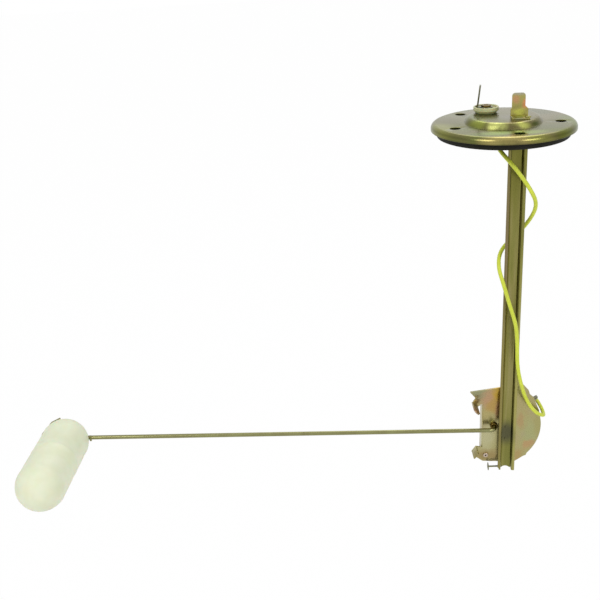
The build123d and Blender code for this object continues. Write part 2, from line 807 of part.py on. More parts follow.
# Float: a sealed capsule, cross-drilled behind its far end for the wire
with BuildPart() as float_body_part:
    with BuildSketch(Plane(origin=float_centre, x_dir=float_side, z_dir=float_side.cross(float_axis))):
        with BuildLine():
            Line((0, float_r), (0, -float_body - float_r))
            ThreePointArc(
                (0, -float_body - float_r),
                (float_r * math.sin(math.pi / 4), -float_body - float_r * math.cos(math.pi / 4)),
                (float_r, -float_body),
            )
            Line((float_r, -float_body), (float_r, 0))
            ThreePointArc(
                (float_r, 0),
                (float_r * math.sin(math.pi / 4), float_r * math.cos(math.pi / 4)),
                (0, float_r),
            )
        make_face()
    revolve(axis=Axis(float_centre, float_axis))
    with BuildSketch(Plane(origin=float_middle - arm_dir * 2 * float_r, z_dir=arm_dir)):
        Circle(wire_r + running_gap)
    extrude(amount=4 * float_r, mode=Mode.SUBTRACT)
float_body_part.part.label = "float"
export_step(float_body_part.part, "parts/float.step")

# Spring washer: loads the hub back against the case and carries the earth return
with BuildPart() as spring_washer:
    with BuildSketch(pivot_plane(plate_back + bush_tail)):
        Circle(hub_r)
        Circle(wire_r + seat_gap, mode=Mode.SUBTRACT)
    extrude(amount=-washer_t)
spring_washer.part.label = "spring_washer"
export_step(spring_washer.part, "parts/spring_washer.step")

# Wiper hub: pressed on the spindle, with a step that the blade is staked to
wiper_y = hub_front + hub_l / 2
with BuildPart() as wiper_hub:
    with BuildSketch(pivot_plane(hub_front)):
        Circle(hub_r)
        Circle(wire_r + seat_gap, mode=Mode.SUBTRACT)
    extrude(amount=-hub_l / 2)
    with BuildSketch(pivot_plane(wiper_y)):
        Circle(hub_step_r)
        Circle(wire_r + seat_gap, mode=Mode.SUBTRACT)
    extrude(amount=-hub_l / 2)
wiper_hub.part.label = "wiper_hub"
export_step(wiper_hub.part, "parts/wiper_hub.step")

# Wiper blade: a springy leaf that points away from the float arm
contact_at = winding_in_r - turn_depth - contact_gap - contact_r
wiper_frame = Plane(origin=(pivot_x, wiper_y, pivot_z), x_dir=-arm_dir, z_dir=(0, -1, 0))
with BuildPart() as wiper_blade:
    with BuildSketch(wiper_frame):
        Circle(hub_r)
        with BuildLine():
            Polyline(
                (0, -wiper_root_w / 2),
                (contact_at, -wiper_tip_w / 2),
                (contact_at, wiper_tip_w / 2),
                (0, wiper_root_w / 2),
                close=True,
            )
        make_face()
        with Locations((contact_at, 0)):
            Circle(wiper_tip_w / 2)
        Circle(hub_step_r + seat_gap, mode=Mode.SUBTRACT)
    extrude(amount=-wiper_t)
wiper_blade.part.label = "wiper_blade"
export_step(wiper_blade.part, "parts/wiper_blade.step")

# Wiper contact: the domed button that rides on the bared turns
contact_plane = Plane(
    origin=wiper_frame.from_local_coords((contact_at, 0, -wiper_t)),
    x_dir=wiper_frame.x_dir,
    z_dir=(0, 1, 0),
)
with BuildPart() as wiper_contact:
    with BuildSketch(contact_plane):
        Circle(contact_r)
    extrude(amount=contact_r)
    fillet(wiper_contact.edges().group_by(Axis.Y)[-1], contact_r / 2)
wiper_contact.part.label = "wiper_contact"
export_step(wiper_contact.part, "parts/wiper_contact.step")

# Spindle clip: a push-on washer behind the case that keeps the arm in
with BuildPart() as spindle_clip:
    with BuildSketch(pivot_plane(case_back + running_gap)):
        Circle(clip_r)
        Circle(wire_r + seat_gap, mode=Mode.SUBTRACT)
        with PolarLocations((wire_r + clip_r) / 2, 3):
            Rectangle(clip_r - wire_r, clip_t, mode=Mode.SUBTRACT)
    extrude(amount=-clip_t)
    with BuildSketch(pivot_plane(case_back + running_gap)):
        Circle(clip_r)
        Circle(clip_r - clip_t, mode=Mode.SUBTRACT)
    extrude(amount=-clip_t)
spindle_clip.part.label = "spindle_clip"
export_step(spindle_clip.part, "parts/spindle_clip.step")


# Lead: from the supply tag in front of the stem, round behind it, in front again and on to the outlet
lead_top = tag_frame.from_local_coords((tag_l, 0, -solder_h))
outlet_down = Vector(math.sin(math.radians(outlet_angle)), 0, -math.cos(math.radians(outlet_angle)))
outlet_point = Vector(pivot_x, outlet_y, pivot_z) + outlet_dir * (outlet_reach - outlet_tag_w / 2)
lead_end = outlet_point + outlet_down * (outlet_tag_t / 2 + solder_h)
lead_points = [
    lead_top,
    lead_top + Vector(0, 0, -lead_drop),
    (-2.8, -6.4, -5.8),
    (1.4, -13.6, -10.4),
    (5.8, -15.4, -15.8),
    (11.4, -15.2, -24.0),
    (16.0, -10.8, -33.0),
    (14.4, -4.2, -42.8),
    (8.0, -1.8, -51.8),
    (-0.2, -4.2, -58.2),
    (-2.6, -11.8, -64.6),
    (0.2, -15.6, -74.0),
    (3.6, -15.2, -85.4),
    (7.2, -15.0, -96.4),
    (8.2, -14.8, -107.8),
    (8.6, -14.6, -119.4),
    (10.6, -14.4, -129.6),
    (14.0, -13.8, -140.6),
    (19.4, -12.8, -149.6),
    (25.2, -9.8, -154.0),
    (26.3, -3.4, -155.4),
    lead_end + outlet_down * lead_approach,
    lead_end,
]
lead_points = [Vector(*p) if isinstance(p, tuple) else p for p in lead_points]


def corner_radius(before, corner, after):
    """The largest arc that a corner's two runs leave room for."""
    shorter = min((corner - before).length, (after - corner).length)
    turn = (corner - before).get_angle(after - corner)
    return bend_share * shorter / math.tan(math.radians(turn / 2))


lead_radii = [corner_radius(*lead_points[i - 1:i + 2]) for i in range(1, len(lead_points) - 1)]
print("lead radii", [round(r, 1) for r in lead_radii])
with BuildPart() as lead_wire:
    with BuildLine() as lead_path:
        FilletPolyline(*lead_points, radius=lead_radii)
    with BuildSketch(Plane(origin=lead_points[0], z_dir=lead_points[1] - lead_points[0])):
        Circle(lead_r)
    sweep()
lead_wire.part.label = "lead_wire"
lead_length = sum(edge.length for edge in lead_path.edges())
print("lead length", round(lead_length, 1))
print("volume against section times length", lead_wire.part.volume / (math.pi * lead_r**2 * lead_length))
export_step(lead_wire.part, "parts/lead_wire.step")


def solder_cone(plane):
    """A fillet of solder from the lead's end, spreading to the tag it stands on."""
    with BuildPart() as cone:
        with BuildSketch(plane):
            Circle(lead_r)
        with BuildSketch(plane.offset(solder_h)):
            Circle(solder_r)
        loft()
    return cone.part


solder_top = solder_cone(Plane(origin=lead_points[0], z_dir=(0, 0, 1)))
solder_top.label = "supply_solder"
export_step(solder_top, "parts/supply_solder.step")
solder_low = solder_cone(Plane(origin=lead_end, z_dir=-outlet_down))
solder_low.label = "outlet_solder"
export_step(solder_low, "parts/outlet_solder.step")
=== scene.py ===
# Fuel level sender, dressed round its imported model. Metres, +Z up, the channel stem open towards -Y.
import math

import bpy
from mathutils import Matrix, Vector


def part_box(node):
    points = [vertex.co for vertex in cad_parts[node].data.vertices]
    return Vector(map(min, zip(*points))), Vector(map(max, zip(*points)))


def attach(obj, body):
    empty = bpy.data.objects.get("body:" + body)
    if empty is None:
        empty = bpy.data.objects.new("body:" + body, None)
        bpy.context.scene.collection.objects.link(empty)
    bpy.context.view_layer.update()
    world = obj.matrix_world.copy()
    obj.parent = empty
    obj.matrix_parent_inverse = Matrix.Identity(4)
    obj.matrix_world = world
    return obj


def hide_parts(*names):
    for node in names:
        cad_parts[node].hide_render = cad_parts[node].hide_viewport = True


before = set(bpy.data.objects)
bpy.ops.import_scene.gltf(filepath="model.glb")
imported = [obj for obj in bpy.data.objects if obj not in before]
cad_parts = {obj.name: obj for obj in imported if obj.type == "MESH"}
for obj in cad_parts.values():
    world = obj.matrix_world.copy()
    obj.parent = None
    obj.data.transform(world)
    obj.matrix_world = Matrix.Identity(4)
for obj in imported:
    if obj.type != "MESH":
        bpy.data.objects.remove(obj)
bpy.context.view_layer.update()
mm = 0.001  # the dictionaries below are in millimetres
print("frame loaded:", len(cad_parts), "nodes")


# Camera, at the place that the flange's ellipse and the stem's taper give
cameraView = {
    "place": (-81.15, -440.75, 104.6),
    "turn": 3.0,        # degrees to the left of straight on
    "tilt": 66.91,      # degrees up from straight down
    "roll": -3.53,
    "lens": 54.18,
    "sensor": 36.0,
    "nearest": 10.0,
}


def makeCamera(view):
    bpy.ops.object.camera_add()
    camera = bpy.context.object
    camera.name = "photoCamera"
    turn = Matrix.Rotation(math.radians(view["turn"]), 4, "Z")
    tilt = Matrix.Rotation(math.radians(view["tilt"]), 4, "X")
    roll = Matrix.Rotation(math.radians(view["roll"]), 4, "Z")
    camera.matrix_world = Matrix.Translation(Vector(view["place"]) * mm) @ turn @ tilt @ roll
    camera.data.lens = view["lens"]
    camera.data.sensor_width = view["sensor"]
    camera.data.clip_start = view["nearest"] * mm
    camera.data.dof.use_dof = False
    bpy.context.scene.camera = camera


makeCamera(cameraView)
print("camera placed")


# The lead: a thin sleeved wire from the tag under the flange, round the stem, to the outlet of the case
lead = {
    "radius": 1.0,
    "length": 206.6,
    "roundness": 5,     # points in a quarter of its outline
    "fineness": 10,     # steps between two points of its route
    "route": [
        (-5.685, 1.711, 5.1),
        (-5.685, 1.711, -0.4),
        (-2.8, -6.4, -5.8),
        (1.4, -13.6, -10.4),
        (5.8, -15.4, -15.8),
        (11.4, -15.2, -24.0),
        (16.0, -10.8, -33.0),
        (14.4, -4.2, -42.8),
        (8.0, -1.8, -51.8),
        (-0.2, -4.2, -58.2),
        (-2.6, -11.8, -64.6),
        (0.2, -15.6, -74.0),
        (3.6, -15.2, -85.4),
        (7.2, -15.0, -96.4),
        (8.2, -14.8, -107.8),
        (8.6, -14.6, -119.4),
        (10.6, -14.4, -129.6),
        (14.0, -13.8, -140.6),
        (19.4, -12.8, -149.6),
        (25.2, -9.8, -154.0),
        (26.3, -3.4, -155.4),
        (25.165, -1.0, -152.534),
        (22.56, -1.0, -148.266),
    ],
}


def makeLead(size):
    line = bpy.data.curves.new("leadSleeve", "CURVE")
    line.dimensions = "3D"
    line.bevel_depth = size["radius"] * mm
    line.bevel_resolution = size["roundness"]
    line.resolution_u = size["fineness"]
    line.use_fill_caps = True
    spline = line.splines.new("NURBS")
    spline.points.add(len(size["route"]) - 1)
    for point, place in zip(spline.points, size["route"]):
        point.co = (*(Vector(place) * mm), 1.0)
    spline.order_u = 3
    spline.use_endpoint_u = True
    sleeve = bpy.data.objects.new("leadSleeve", line)
    bpy.context.scene.collection.objects.link(sleeve)
    return sleeve


leadSleeve = makeLead(lead)
print("lead routed")


# Shared steps of modelling
modelling = {
    "weld": 0.001,      # points nearer than this are one point
    "sliver": 0.01,     # what a boolean leaves that is narrower than this is merged
    "smoothUnder": 25,  # degrees: less than the 30 between a bevel's faces, so that flat faces stay flat
    "past": 1.0,        # how far a cutter stands out past what it cuts
}
cutterPast = modelling["past"]


def clearSelection():
    active = bpy.context.view_layer.objects.active
    if active and active.mode != "OBJECT":
        bpy.ops.object.mode_set(mode="OBJECT")
    bpy.ops.object.select_all(action="DESELECT")


def pick(piece):
    clearSelection()
    piece.select_set(True)
    bpy.context.view_layer.objects.active = piece


def edit(piece):
    pick(piece)
    bpy.ops.object.mode_set(mode="EDIT")
    bpy.ops.mesh.select_all(action="SELECT")


def drawChain(name, points, closed=True):
    # one vertex, pulled from point to point; closed gives a filled outline
    clearSelection()
    bpy.ops.mesh.primitive_plane_add(size=mm, location=(0, 0, 0))
    piece = bpy.context.object
    piece.name = name
    piece.data.name = name
    edit(piece)
    bpy.ops.mesh.merge(type="CENTER")
    places = [Vector(point) * mm for point in points]
    bpy.ops.transform.translate(value=places[0])
    for before, after in zip(places, places[1:]):
        bpy.ops.mesh.extrude_vertices_move(TRANSFORM_OT_translate={"value": after - before})
    bpy.ops.mesh.select_all(action="SELECT")
    if closed:
        bpy.ops.mesh.edge_face_add()
    return piece


def placePiece(piece, place=(0, 0, 0), turn=(0, 0, 0)):
    # puts a piece that was drawn at the origin where it belongs, and leaves its object at the origin
    pick(piece)
    piece.rotation_euler = [math.radians(angle) for angle in turn]
    piece.location = Vector(place) * mm
    bpy.ops.object.transform_apply(location=True, rotation=True, scale=True)


def cleanMesh(piece):
    edit(piece)
    bpy.ops.mesh.remove_doubles(threshold=modelling["weld"] * mm)
    bpy.ops.mesh.normals_make_consistent(inside=False)
    bpy.ops.object.mode_set(mode="OBJECT")


def turnPiece(name, profile, steps=96, closed=False, place=(0, 0, 0), turn=(0, 0, 0)):
    # a round piece: its half profile, as radius and height, spun once round
    piece = drawChain(name, [(radius, 0, height) for radius, height in profile], closed)
    if closed:
        bpy.ops.mesh.delete(type="ONLY_FACE")
        bpy.ops.mesh.select_all(action="SELECT")
    bpy.ops.mesh.spin(steps=steps, angle=2 * math.pi, center=(0, 0, 0), axis=(0, 0, 1))
    cleanMesh(piece)
    placePiece(piece, place, turn)
    return piece


def sheetPiece(name, outline, thickness, place=(0, 0, 0), turn=(0, 0, 0)):
    # a flat blank: its outline filled and pulled up to the sheet's thickness
    piece = drawChain(name, [(across, up, 0) for across, up in outline])
    bpy.ops.mesh.extrude_region_move(TRANSFORM_OT_translate={"value": (0, 0, thickness * mm)})
    cleanMesh(piece)
    placePiece(piece, place, turn)
    return piece


def applyModifier(piece, kind, **settings):
    pick(piece)
    modifier = piece.modifiers.new(kind.lower(), kind)
    for name, value in settings.items():
        setattr(modifier, name, value)
    bpy.ops.object.modifier_apply(modifier=modifier.name)


def cut(piece, cutter, operation="DIFFERENCE"):
    applyModifier(piece, "BOOLEAN", operation=operation, object=cutter, solver="EXACT")
    bpy.data.objects.remove(cutter)


def drillHole(piece, radius, low, high, steps=40, place=(0, 0, 0), turn=(0, 0, 0)):
    # a plain round hole, from one height along its axis to another
    rod = [(0, low), (radius, low), (radius, high), (0, high)]
    cut(piece, turnPiece("drill", rod, steps, place=place, turn=turn))


def softenEdges(piece, width, segments=2, angle=40):
    # a boolean leaves slivers that would hold every bevel back, so they are merged first
    edit(piece)
    bpy.ops.mesh.remove_doubles(threshold=modelling["sliver"] * mm)
    bpy.ops.mesh.dissolve_degenerate(threshold=modelling["sliver"] * mm)
    bpy.ops.object.mode_set(mode="OBJECT")
    applyModifier(
        piece, "BEVEL", width=width * mm, segments=segments, limit_method="ANGLE",
        angle_limit=math.radians(angle), harden_normals=False,
    )
    pick(piece)
    bpy.ops.object.shade_smooth_by_angle(angle=math.radians(modelling["smoothUnder"]))


def finish(piece, material, slot, body, *nodes):
    piece.data.materials.clear()
    piece.data.materials.append(material)
    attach(piece, body)
    if nodes:
        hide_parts(*nodes)
    print("made", piece.name)


def cadBox(node):
    # the two corners of a CAD node's box, in millimetres
    return [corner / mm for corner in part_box(node)]


def arcPoints(centre, radius, start, end, steps=6):
    # points along a round edge, from one angle in degrees to another
    angles = [math.radians(start + (end - start) * step / steps) for step in range(steps + 1)]
    return [
        (centre[0] + radius * math.cos(angle), centre[1] + radius * math.sin(angle)) for angle in angles
    ]


def roundCorners(points, radii, steps=5, closed=True):
    # an outline with each corner rounded to its own radius
    rounded = []
    count = len(points)
    for index, (point, radius) in enumerate(zip(points, radii)):
        if radius == 0 or (not closed and index in (0, count - 1)):
            rounded.append(point)
            continue
        corner = Vector(point)
        before = (Vector(points[index - 1]) - corner).normalized()
        after = (Vector(points[(index + 1) % count]) - corner).normalized()
        half = before.angle(after) / 2
        centre = corner + (before + after).normalized() * radius / math.sin(half)
        start = corner + before * radius / math.tan(half) - centre
        end = corner + after * radius / math.tan(half) - centre
        sweep = start.angle_signed(end)
        for step in range(steps + 1):
            arm = Matrix.Rotation(-sweep * step / steps, 2) @ start
            rounded.append(tuple(centre + arm))
    return rounded


def arcThrough(first, middle, last, steps):
    # an arc by three of its points
    a, b, c = (Vector(point) for point in (first, middle, last))
    ab = b - a
    ac = c - a
    cross = 2 * (ab.x * ac.y - ab.y * ac.x)
    away = Vector((ac.y * ab.length_squared - ab.y * ac.length_squared,
                   ab.x * ac.length_squared - ac.x * ab.length_squared)) / cross
    centre = a + away
    spokes = [point - centre for point in (a, b, c)]
    angles = [math.atan2(spoke.y, spoke.x) for spoke in spokes]
    turn = (angles[2] - angles[0]) % (2 * math.pi)
    if (angles[1] - angles[0]) % (2 * math.pi) > turn:
        turn -= 2 * math.pi
    radius = spokes[0].length
    spots = [angles[0] + turn * step / steps for step in range(steps + 1)]
    return [(centre.x + radius * math.cos(spot), centre.y + radius * math.sin(spot)) for spot in spots]


# Materials
def colour(hexValue):
    # an sRGB hex value, as a linear colour
    parts = [int(hexValue[index:index + 2], 16) / 255 for index in (1, 3, 5)]
    linear = [part / 12.92 if part <= 0.04045 else ((part + 0.055) / 1.055) ** 2.4 for part in parts]
    return (*linear, 1.0)


def addNode(tree, kind, settings=None, links=None):
    node = tree.nodes.new(kind)
    for name, value in (settings or {}).items():
        if name == "stops":
            ramp = node.color_ramp
            while len(ramp.elements) < len(value):
                ramp.elements.new(0.5)
            for element, (position, shade) in zip(ramp.elements, value):
                element.position = position
                element.color = shade
        elif isinstance(name, int) or name in node.inputs:
            node.inputs[name].default_value = value
        else:
            setattr(node, name, value)
    for name, source in (links or {}).items():
        tree.links.new(source, node.inputs[name])
    return node


def newMaterial(name):
    material = bpy.data.materials.new(name)
    material.use_nodes = True
    tree = material.node_tree
    tree.nodes.clear()
    coordinates = addNode(tree, "ShaderNodeTexCoord")
    return material, tree, coordinates.outputs["Object"]


def closeMaterial(tree, shader):
    addNode(tree, "ShaderNodeOutputMaterial", links={"Surface": shader.outputs["BSDF"]})


grainDepth = 0.05  # mm, of the fine surface that every finish has
dentShare = 0.5    # how much of a pressing's dents shows


def passivatedSteel(name, look):
    # zinc plate dipped in yellow chromate: an olive and gold film that drifts to pink and green
    # in soft clouds
    material, tree, place = newMaterial(name)
    stretched = addNode(tree, "ShaderNodeMapping", {"Scale": look["stretch"]}, {"Vector": place})
    clouds = addNode(
        tree, "ShaderNodeTexNoise",
        {"Scale": 1 / (look["cloud"] * mm), "Detail": 3.0, "Roughness": 0.5, "Distortion": 0.6},
        {"Vector": stretched.outputs["Vector"]},
    )
    # the film thickens slowly from one side of the piece to the other
    across = addNode(
        tree, "ShaderNodeVectorMath",
        {"operation": "DOT_PRODUCT", 1: [part / mm for part in look["thicken"]]},
        {0: place},
    )
    thickness = addNode(
        tree, "ShaderNodeMath", {"operation": "MULTIPLY_ADD", 1: look["mottle"]},
        {0: clouds.outputs["Fac"], 2: across.outputs["Value"]},
    )
    film = addNode(
        tree, "ShaderNodeValToRGB",
        {"stops": [(spot, colour(shade)) for spot, shade in look["film"]]},
        {"Fac": thickness.outputs["Value"]},
    )
    # patches where the dip drained or pooled, and patches of painted highlight, reflection and shade: each
    # fades out from its middle, with a wandering edge
    wander = look["wander"] * mm
    wandered = addNode(
        tree, "ShaderNodeVectorMath", {"operation": "MULTIPLY_ADD", 1: (wander, wander, wander)},
        {0: clouds.outputs["Color"], 2: place},
    )
    shade = film.outputs["Color"]
    for middle, reach, patchShade, amount in look["patches"]:
        away = addNode(
            tree, "ShaderNodeVectorMath",
            {"operation": "SUBTRACT", 1: [part * mm + wander / 2 for part in middle]},
            {0: wandered.outputs["Vector"]},
        )
        shares = addNode(
            tree, "ShaderNodeVectorMath", {"operation": "DIVIDE", 1: [part * mm for part in reach]},
            {0: away.outputs["Vector"]},
        )
        distance = addNode(
            tree, "ShaderNodeVectorMath", {"operation": "LENGTH"}, {0: shares.outputs["Vector"]},
        )
        fade = addNode(
            tree, "ShaderNodeMapRange",
            {"interpolation_type": "SMOOTHSTEP", "From Min": 1.0, "From Max": 0.25, "To Max": amount},
            {"Value": distance.outputs["Value"]},
        )
        patched = addNode(
            tree, "ShaderNodeMix", {"data_type": "RGBA", 7: colour(patchShade)},
            {0: fade.outputs["Result"], 6: shade},
        )
        shade = patched.outputs[2]
    # painted shade and highlight by the slope of the surface: each fold and rim is darkened or lightened by
    # how far it faces up
    facing = addNode(tree, "ShaderNodeNewGeometry")
    upward = addNode(tree, "ShaderNodeSeparateXYZ", links={0: facing.outputs["Normal"]})
    slope = addNode(
        tree, "ShaderNodeMapRange", {"From Min": -1.0, "From Max": 1.0}, {"Value": upward.outputs["Z"]},
    )
    paintedTiltShade = addNode(
        tree, "ShaderNodeValToRGB",
        {"stops": [((tilt + 1) / 2, (share, share, share, 1.0)) for tilt, share in look["paintedTiltShade"]]},
        {"Fac": slope.outputs["Result"]},
    )
    filmWithPaintedShade = addNode(
        tree, "ShaderNodeVectorMath", {"operation": "MULTIPLY"},
        {0: shade, 1: paintedTiltShade.outputs["Color"]},
    )
    grain = addNode(
        tree, "ShaderNodeTexNoise",
        {"Scale": 1 / (look["grain"] * mm), "Detail": 4.0, "Roughness": 0.6},
        {"Vector": stretched.outputs["Vector"]},
    )
    dullness = addNode(
        tree, "ShaderNodeMapRange",
        {"From Min": 0.3, "From Max": 0.7, "To Min": look["gloss"][0], "To Max": look["gloss"][1]},
        {"Value": grain.outputs["Fac"]},
    )
    bump = addNode(
        tree, "ShaderNodeBump",
        {"Strength": look["bump"], "Distance": grainDepth * mm},
        {"Height": grain.outputs["Fac"]},
    )
    waves = addNode(
        tree, "ShaderNodeTexNoise",
        {"Scale": 1 / (look["wave"] * mm), "Detail": 1.0},
        {"Vector": place},
    )
    dents = addNode(
        tree, "ShaderNodeBump",
        {"Strength": dentShare, "Distance": look["dent"] * mm},
        {"Height": waves.outputs["Fac"], "Normal": bump.outputs["Normal"]},
    )
    shader = addNode(
        tree, "ShaderNodeBsdfPrincipled",
        {"Metallic": 1.0},
        {"Base Color": filmWithPaintedShade.outputs["Vector"], "Roughness": dullness.outputs["Result"],
         "Normal": dents.outputs["Normal"]},
    )
    closeMaterial(tree, shader)
    return material


flangeLook = {
    "stretch": (1, 1, 1),
    "cloud": 16.0,
    "mottle": 0.8,
    "thicken": (0.0045, 0.0, 0.0),
    "wander": 9.0,
    "grain": 0.5,
    "wave": 30.0,
    "dent": 0.3,
    "bump": 0.1,
    "gloss": (0.2, 0.3),
    "film": [(0.2, "#6e7440"), (0.36, "#726f44"), (0.48, "#746c46"), (0.6, "#6e6838"), (0.78, "#5c5c2e")],
    # painted shade and highlight by tilt: the tilt of the surface, from flat underside to upright wall to
    # flat top, and how much of the shade stays
    "paintedTiltShade": [
        (-1.0, 0.6), (-0.1, 0.5), (0.03, 0.85), (0.2, 0.7), (0.4, 0.6), (0.65, 0.85), (0.9, 0.95), (1.0, 1.0),
    ],
    # middle and reach in mm, shade, and how far the shade takes over
    "patches": [
        ((-26.0, 5.0, 6.6), (11.0, 14.0, 12.0), "#676335", 0.85),
        ((20.0, -17.0, 6.6), (13.0, 13.0, 12.0), "#686b42", 0.85),
        ((20.0, 18.0, 6.6), (12.0, 10.0, 12.0), "#595e31", 0.7),
        ((3.0, -4.0, 9.4), (12.0, 9.0, 4.0), "#7c7864", 0.9),
        ((-22.0, -6.0, 6.6), (8.0, 9.0, 6.0), "#626019", 0.8),
        ((0.0, -24.0, 6.6), (24.0, 6.0, 4.0), "#9ab456", 0.6),
        ((33.0, -6.0, 5.5), (7.0, 20.0, 6.0), "#6b7829", 0.9),
        ((-8.0, -34.0, 5.0), (26.0, 5.0, 5.0), "#ad9f62", 0.9),
        ((26.0, -24.0, 4.5), (14.0, 8.0, 5.0), "#696f25", 0.9),
        # the next five patches are painted highlights and dark reflections along the plateau's front shoulder
        ((-6.5, -17.6, 8.2), (8.0, 3.8, 3.0), "#d4d880", 0.85),
        ((8.0, -17.0, 8.2), (6.0, 3.8, 3.0), "#ccd070", 0.85),
        ((-15.0, -11.0, 8.0), (8.0, 8.0, 3.0), "#98a048", 0.75),
        ((1.5, -18.0, 8.6), (2.2, 2.2, 1.6), "#8c944a", 0.6),
        ((13.5, -12.5, 8.2), (3.6, 3.4, 2.2), "#4c5420", 0.9),
        ((14.0, -32.0, 5.0), (16.0, 5.0, 5.0), "#8f8f4a", 0.8),
        ((-32.0, -10.0, 5.0), (10.0, 20.0, 7.0), "#8c8c42", 0.7),
    ],
}
stemLook = {
    "stretch": (1, 1, 0.05),
    "cloud": 3.5,
    "mottle": 1.0,
    "thicken": (0.0, 0.0, 0.0),
    "wander": 0.8,
    "grain": 0.35,
    "wave": 24.0,
    "dent": 0.2,
    "bump": 0.3,
    "gloss": (0.24, 0.36),
    "film": [(0.3, "#74743a"), (0.45, "#848246"), (0.55, "#8e8850"), (0.7, "#989060")],
    "paintedTiltShade": [(-1.0, 1.0), (1.0, 1.0)],
    "patches": [
        # painted shade in the channel's left inner corner
        ((3.2, -8.0, -95.0), (1.1, 3.4, 140.0), "#675f1e", 0.95),
        ((8.7, -8.4, -95.0), (0.8, 3.2, 140.0), "#8c8440", 0.9),
        ((1.5, -11.0, -50.0), (1.4, 1.4, 80.0), "#7e6e52", 0.8),
        ((5.6, -8.0, -8.0), (8.0, 5.0, 45.0), "#747235", 0.9),
        ((1.5, -11.0, -150.0), (1.4, 1.4, 70.0), "#908350", 0.8),
        ((9.6, -11.0, -140.0), (1.3, 1.4, 110.0), "#a7a15f", 0.9),
        ((5.6, -8.0, -165.2), (8.0, 6.0, 10.5), "#56553e", 0.95),
    ],
}
plateLook = {
    "stretch": (1, 1, 1),
    "cloud": 12.0,
    "mottle": 0.75,
    "thicken": (0.0, 0.0, 0.0),
    "wander": 11.0,
    "grain": 0.4,
    "wave": 16.0,
    "dent": 0.22,
    "bump": 0.25,
    "gloss": (0.22, 0.36),
    "film": [(0.2, "#a89e78"), (0.35, "#aaa070"), (0.5, "#a8a270")],
    "paintedTiltShade": [(-1.0, 1.0), (1.0, 1.0)],
    "patches": [
        ((17.5, -6.5, -167.0), (7.5, 11.0, 13.0), "#a2a774", 0.65),
        ((14.2, -6.5, -157.8), (2.6, 11.0, 8.0), "#ae8e66", 0.6),
        ((18.2, -6.5, -175.0), (4.2, 11.0, 4.4), "#b88e66", 0.65),
        ((13.0, -6.5, -180.5), (6.5, 11.0, 4.5), "#ab9260", 0.75),
        ((23.5, -6.5, -160.0), (5.0, 11.0, 12.0), "#a29d68", 0.8),
        ((-10.5, -6.5, -140.0), (7.0, 11.0, 7.0), "#949471", 0.95),
        ((-5.0, -6.5, -144.0), (7.5, 11.0, 7.0), "#b49270", 0.95),
        ((0.3, -6.5, -144.0), (5.0, 11.0, 12.0), "#b8973a", 0.95),
        ((-3.0, -6.5, -149.0), (5.5, 11.0, 6.0), "#b09156", 0.85),
        ((1.2, -6.5, -152.0), (2.6, 11.0, 9.0), "#a8805a", 0.85),
        ((-5.5, -6.5, -154.0), (5.5, 11.0, 5.5), "#aea16c", 0.85),
        ((-4.5, -6.5, -168.0), (8.0, 11.0, 11.0), "#b6b289", 0.95),
        # brown film darkened into painted shade on the bent lug
        ((-12.5, -12.0, -147.5), (5.0, 7.0, 6.0), "#90705a", 0.9),
        ((-12.5, -11.0, -176.0), (4.5, 8.0, 5.0), "#8e8458", 0.9),
        ((-4.0, -6.5, -179.5), (10.0, 11.0, 6.0), "#9a885b", 0.95),
    ],
}
tabLook = dict(
    plateLook, cloud=5.0, wander=2.0,
    film=[(0.3, "#a49c5c"), (0.6, "#a8a054")],
    patches=[
        ((6.1, -4.2, 20.5), (5.0, 4.0, 1.8), "#a5a28c", 0.95),
        ((4.9, -4.2, 17.6), (2.6, 4.0, 2.6), "#ba8f67", 0.85),
        ((9.2, -4.2, 15.5), (2.0, 4.0, 3.4), "#ce8a5c", 0.9),
        ((6.6, -4.2, 11.8), (4.0, 3.0, 2.6), "#b8b953", 0.8),
        ((6.6, -9.0, 10.0), (6.0, 4.4, 1.6), "#a0a890", 0.95),
    ],
)
caseLook = dict(
    plateLook, cloud=14.0, bump=0.15,
    film=[(0.22, "#7c7a48"), (0.34, "#8a7c40"), (0.42, "#8e7650"), (0.52, "#80804e")],
    patches=[
        ((8.0, 4.0, -150.0), (12.0, 8.0, 12.0), "#94806a", 0.6),
        ((10.0, 4.0, -172.0), (10.0, 8.0, 10.0), "#7e8a56", 0.7),
    ],
)


plainLook = {
    "cloud": 8.0,       # size of the areas that the colour drifts in
    "swing": 0.06,      # how far the roughness goes up and down
    "lightDepth": 4.0,  # how far light goes into a milky plastic
}


def plainMaterial(name, shade, variation, roughness, grain, bump, metallic=0.0, subsurface=0.0, shine=0.5):
    # one colour that drifts a little, with a fine surface of its own
    material, tree, place = newMaterial(name)
    clouds = addNode(
        tree, "ShaderNodeTexNoise",
        {"Scale": 1 / (plainLook["cloud"] * mm), "Detail": 3.0},
        {"Vector": place},
    )
    drift = addNode(
        tree, "ShaderNodeValToRGB",
        {"stops": [(0.3, colour(shade)), (0.7, colour(variation))]},
        {"Fac": clouds.outputs["Fac"]},
    )
    fine = addNode(
        tree, "ShaderNodeTexNoise",
        {"Scale": 1 / (grain * mm), "Detail": 4.0, "Roughness": 0.6},
        {"Vector": place},
    )
    swing = plainLook["swing"]
    dullness = addNode(
        tree, "ShaderNodeMapRange",
        {"From Min": 0.3, "From Max": 0.7, "To Min": roughness - swing, "To Max": roughness + swing},
        {"Value": fine.outputs["Fac"]},
    )
    relief = addNode(
        tree, "ShaderNodeBump",
        {"Strength": bump, "Distance": grainDepth * mm},
        {"Height": fine.outputs["Fac"]},
    )
    settings = {"Metallic": metallic, "Specular IOR Level": shine}
    if subsurface:
        settings.update({"Subsurface Weight": subsurface, "Subsurface Scale": plainLook["lightDepth"] * mm})
    shader = addNode(
        tree, "ShaderNodeBsdfPrincipled", settings,
        {"Base Color": drift.outputs["Color"], "Roughness": dullness.outputs["Result"],
         "Normal": relief.outputs["Normal"]},
    )
    closeMaterial(tree, shader)
    return material


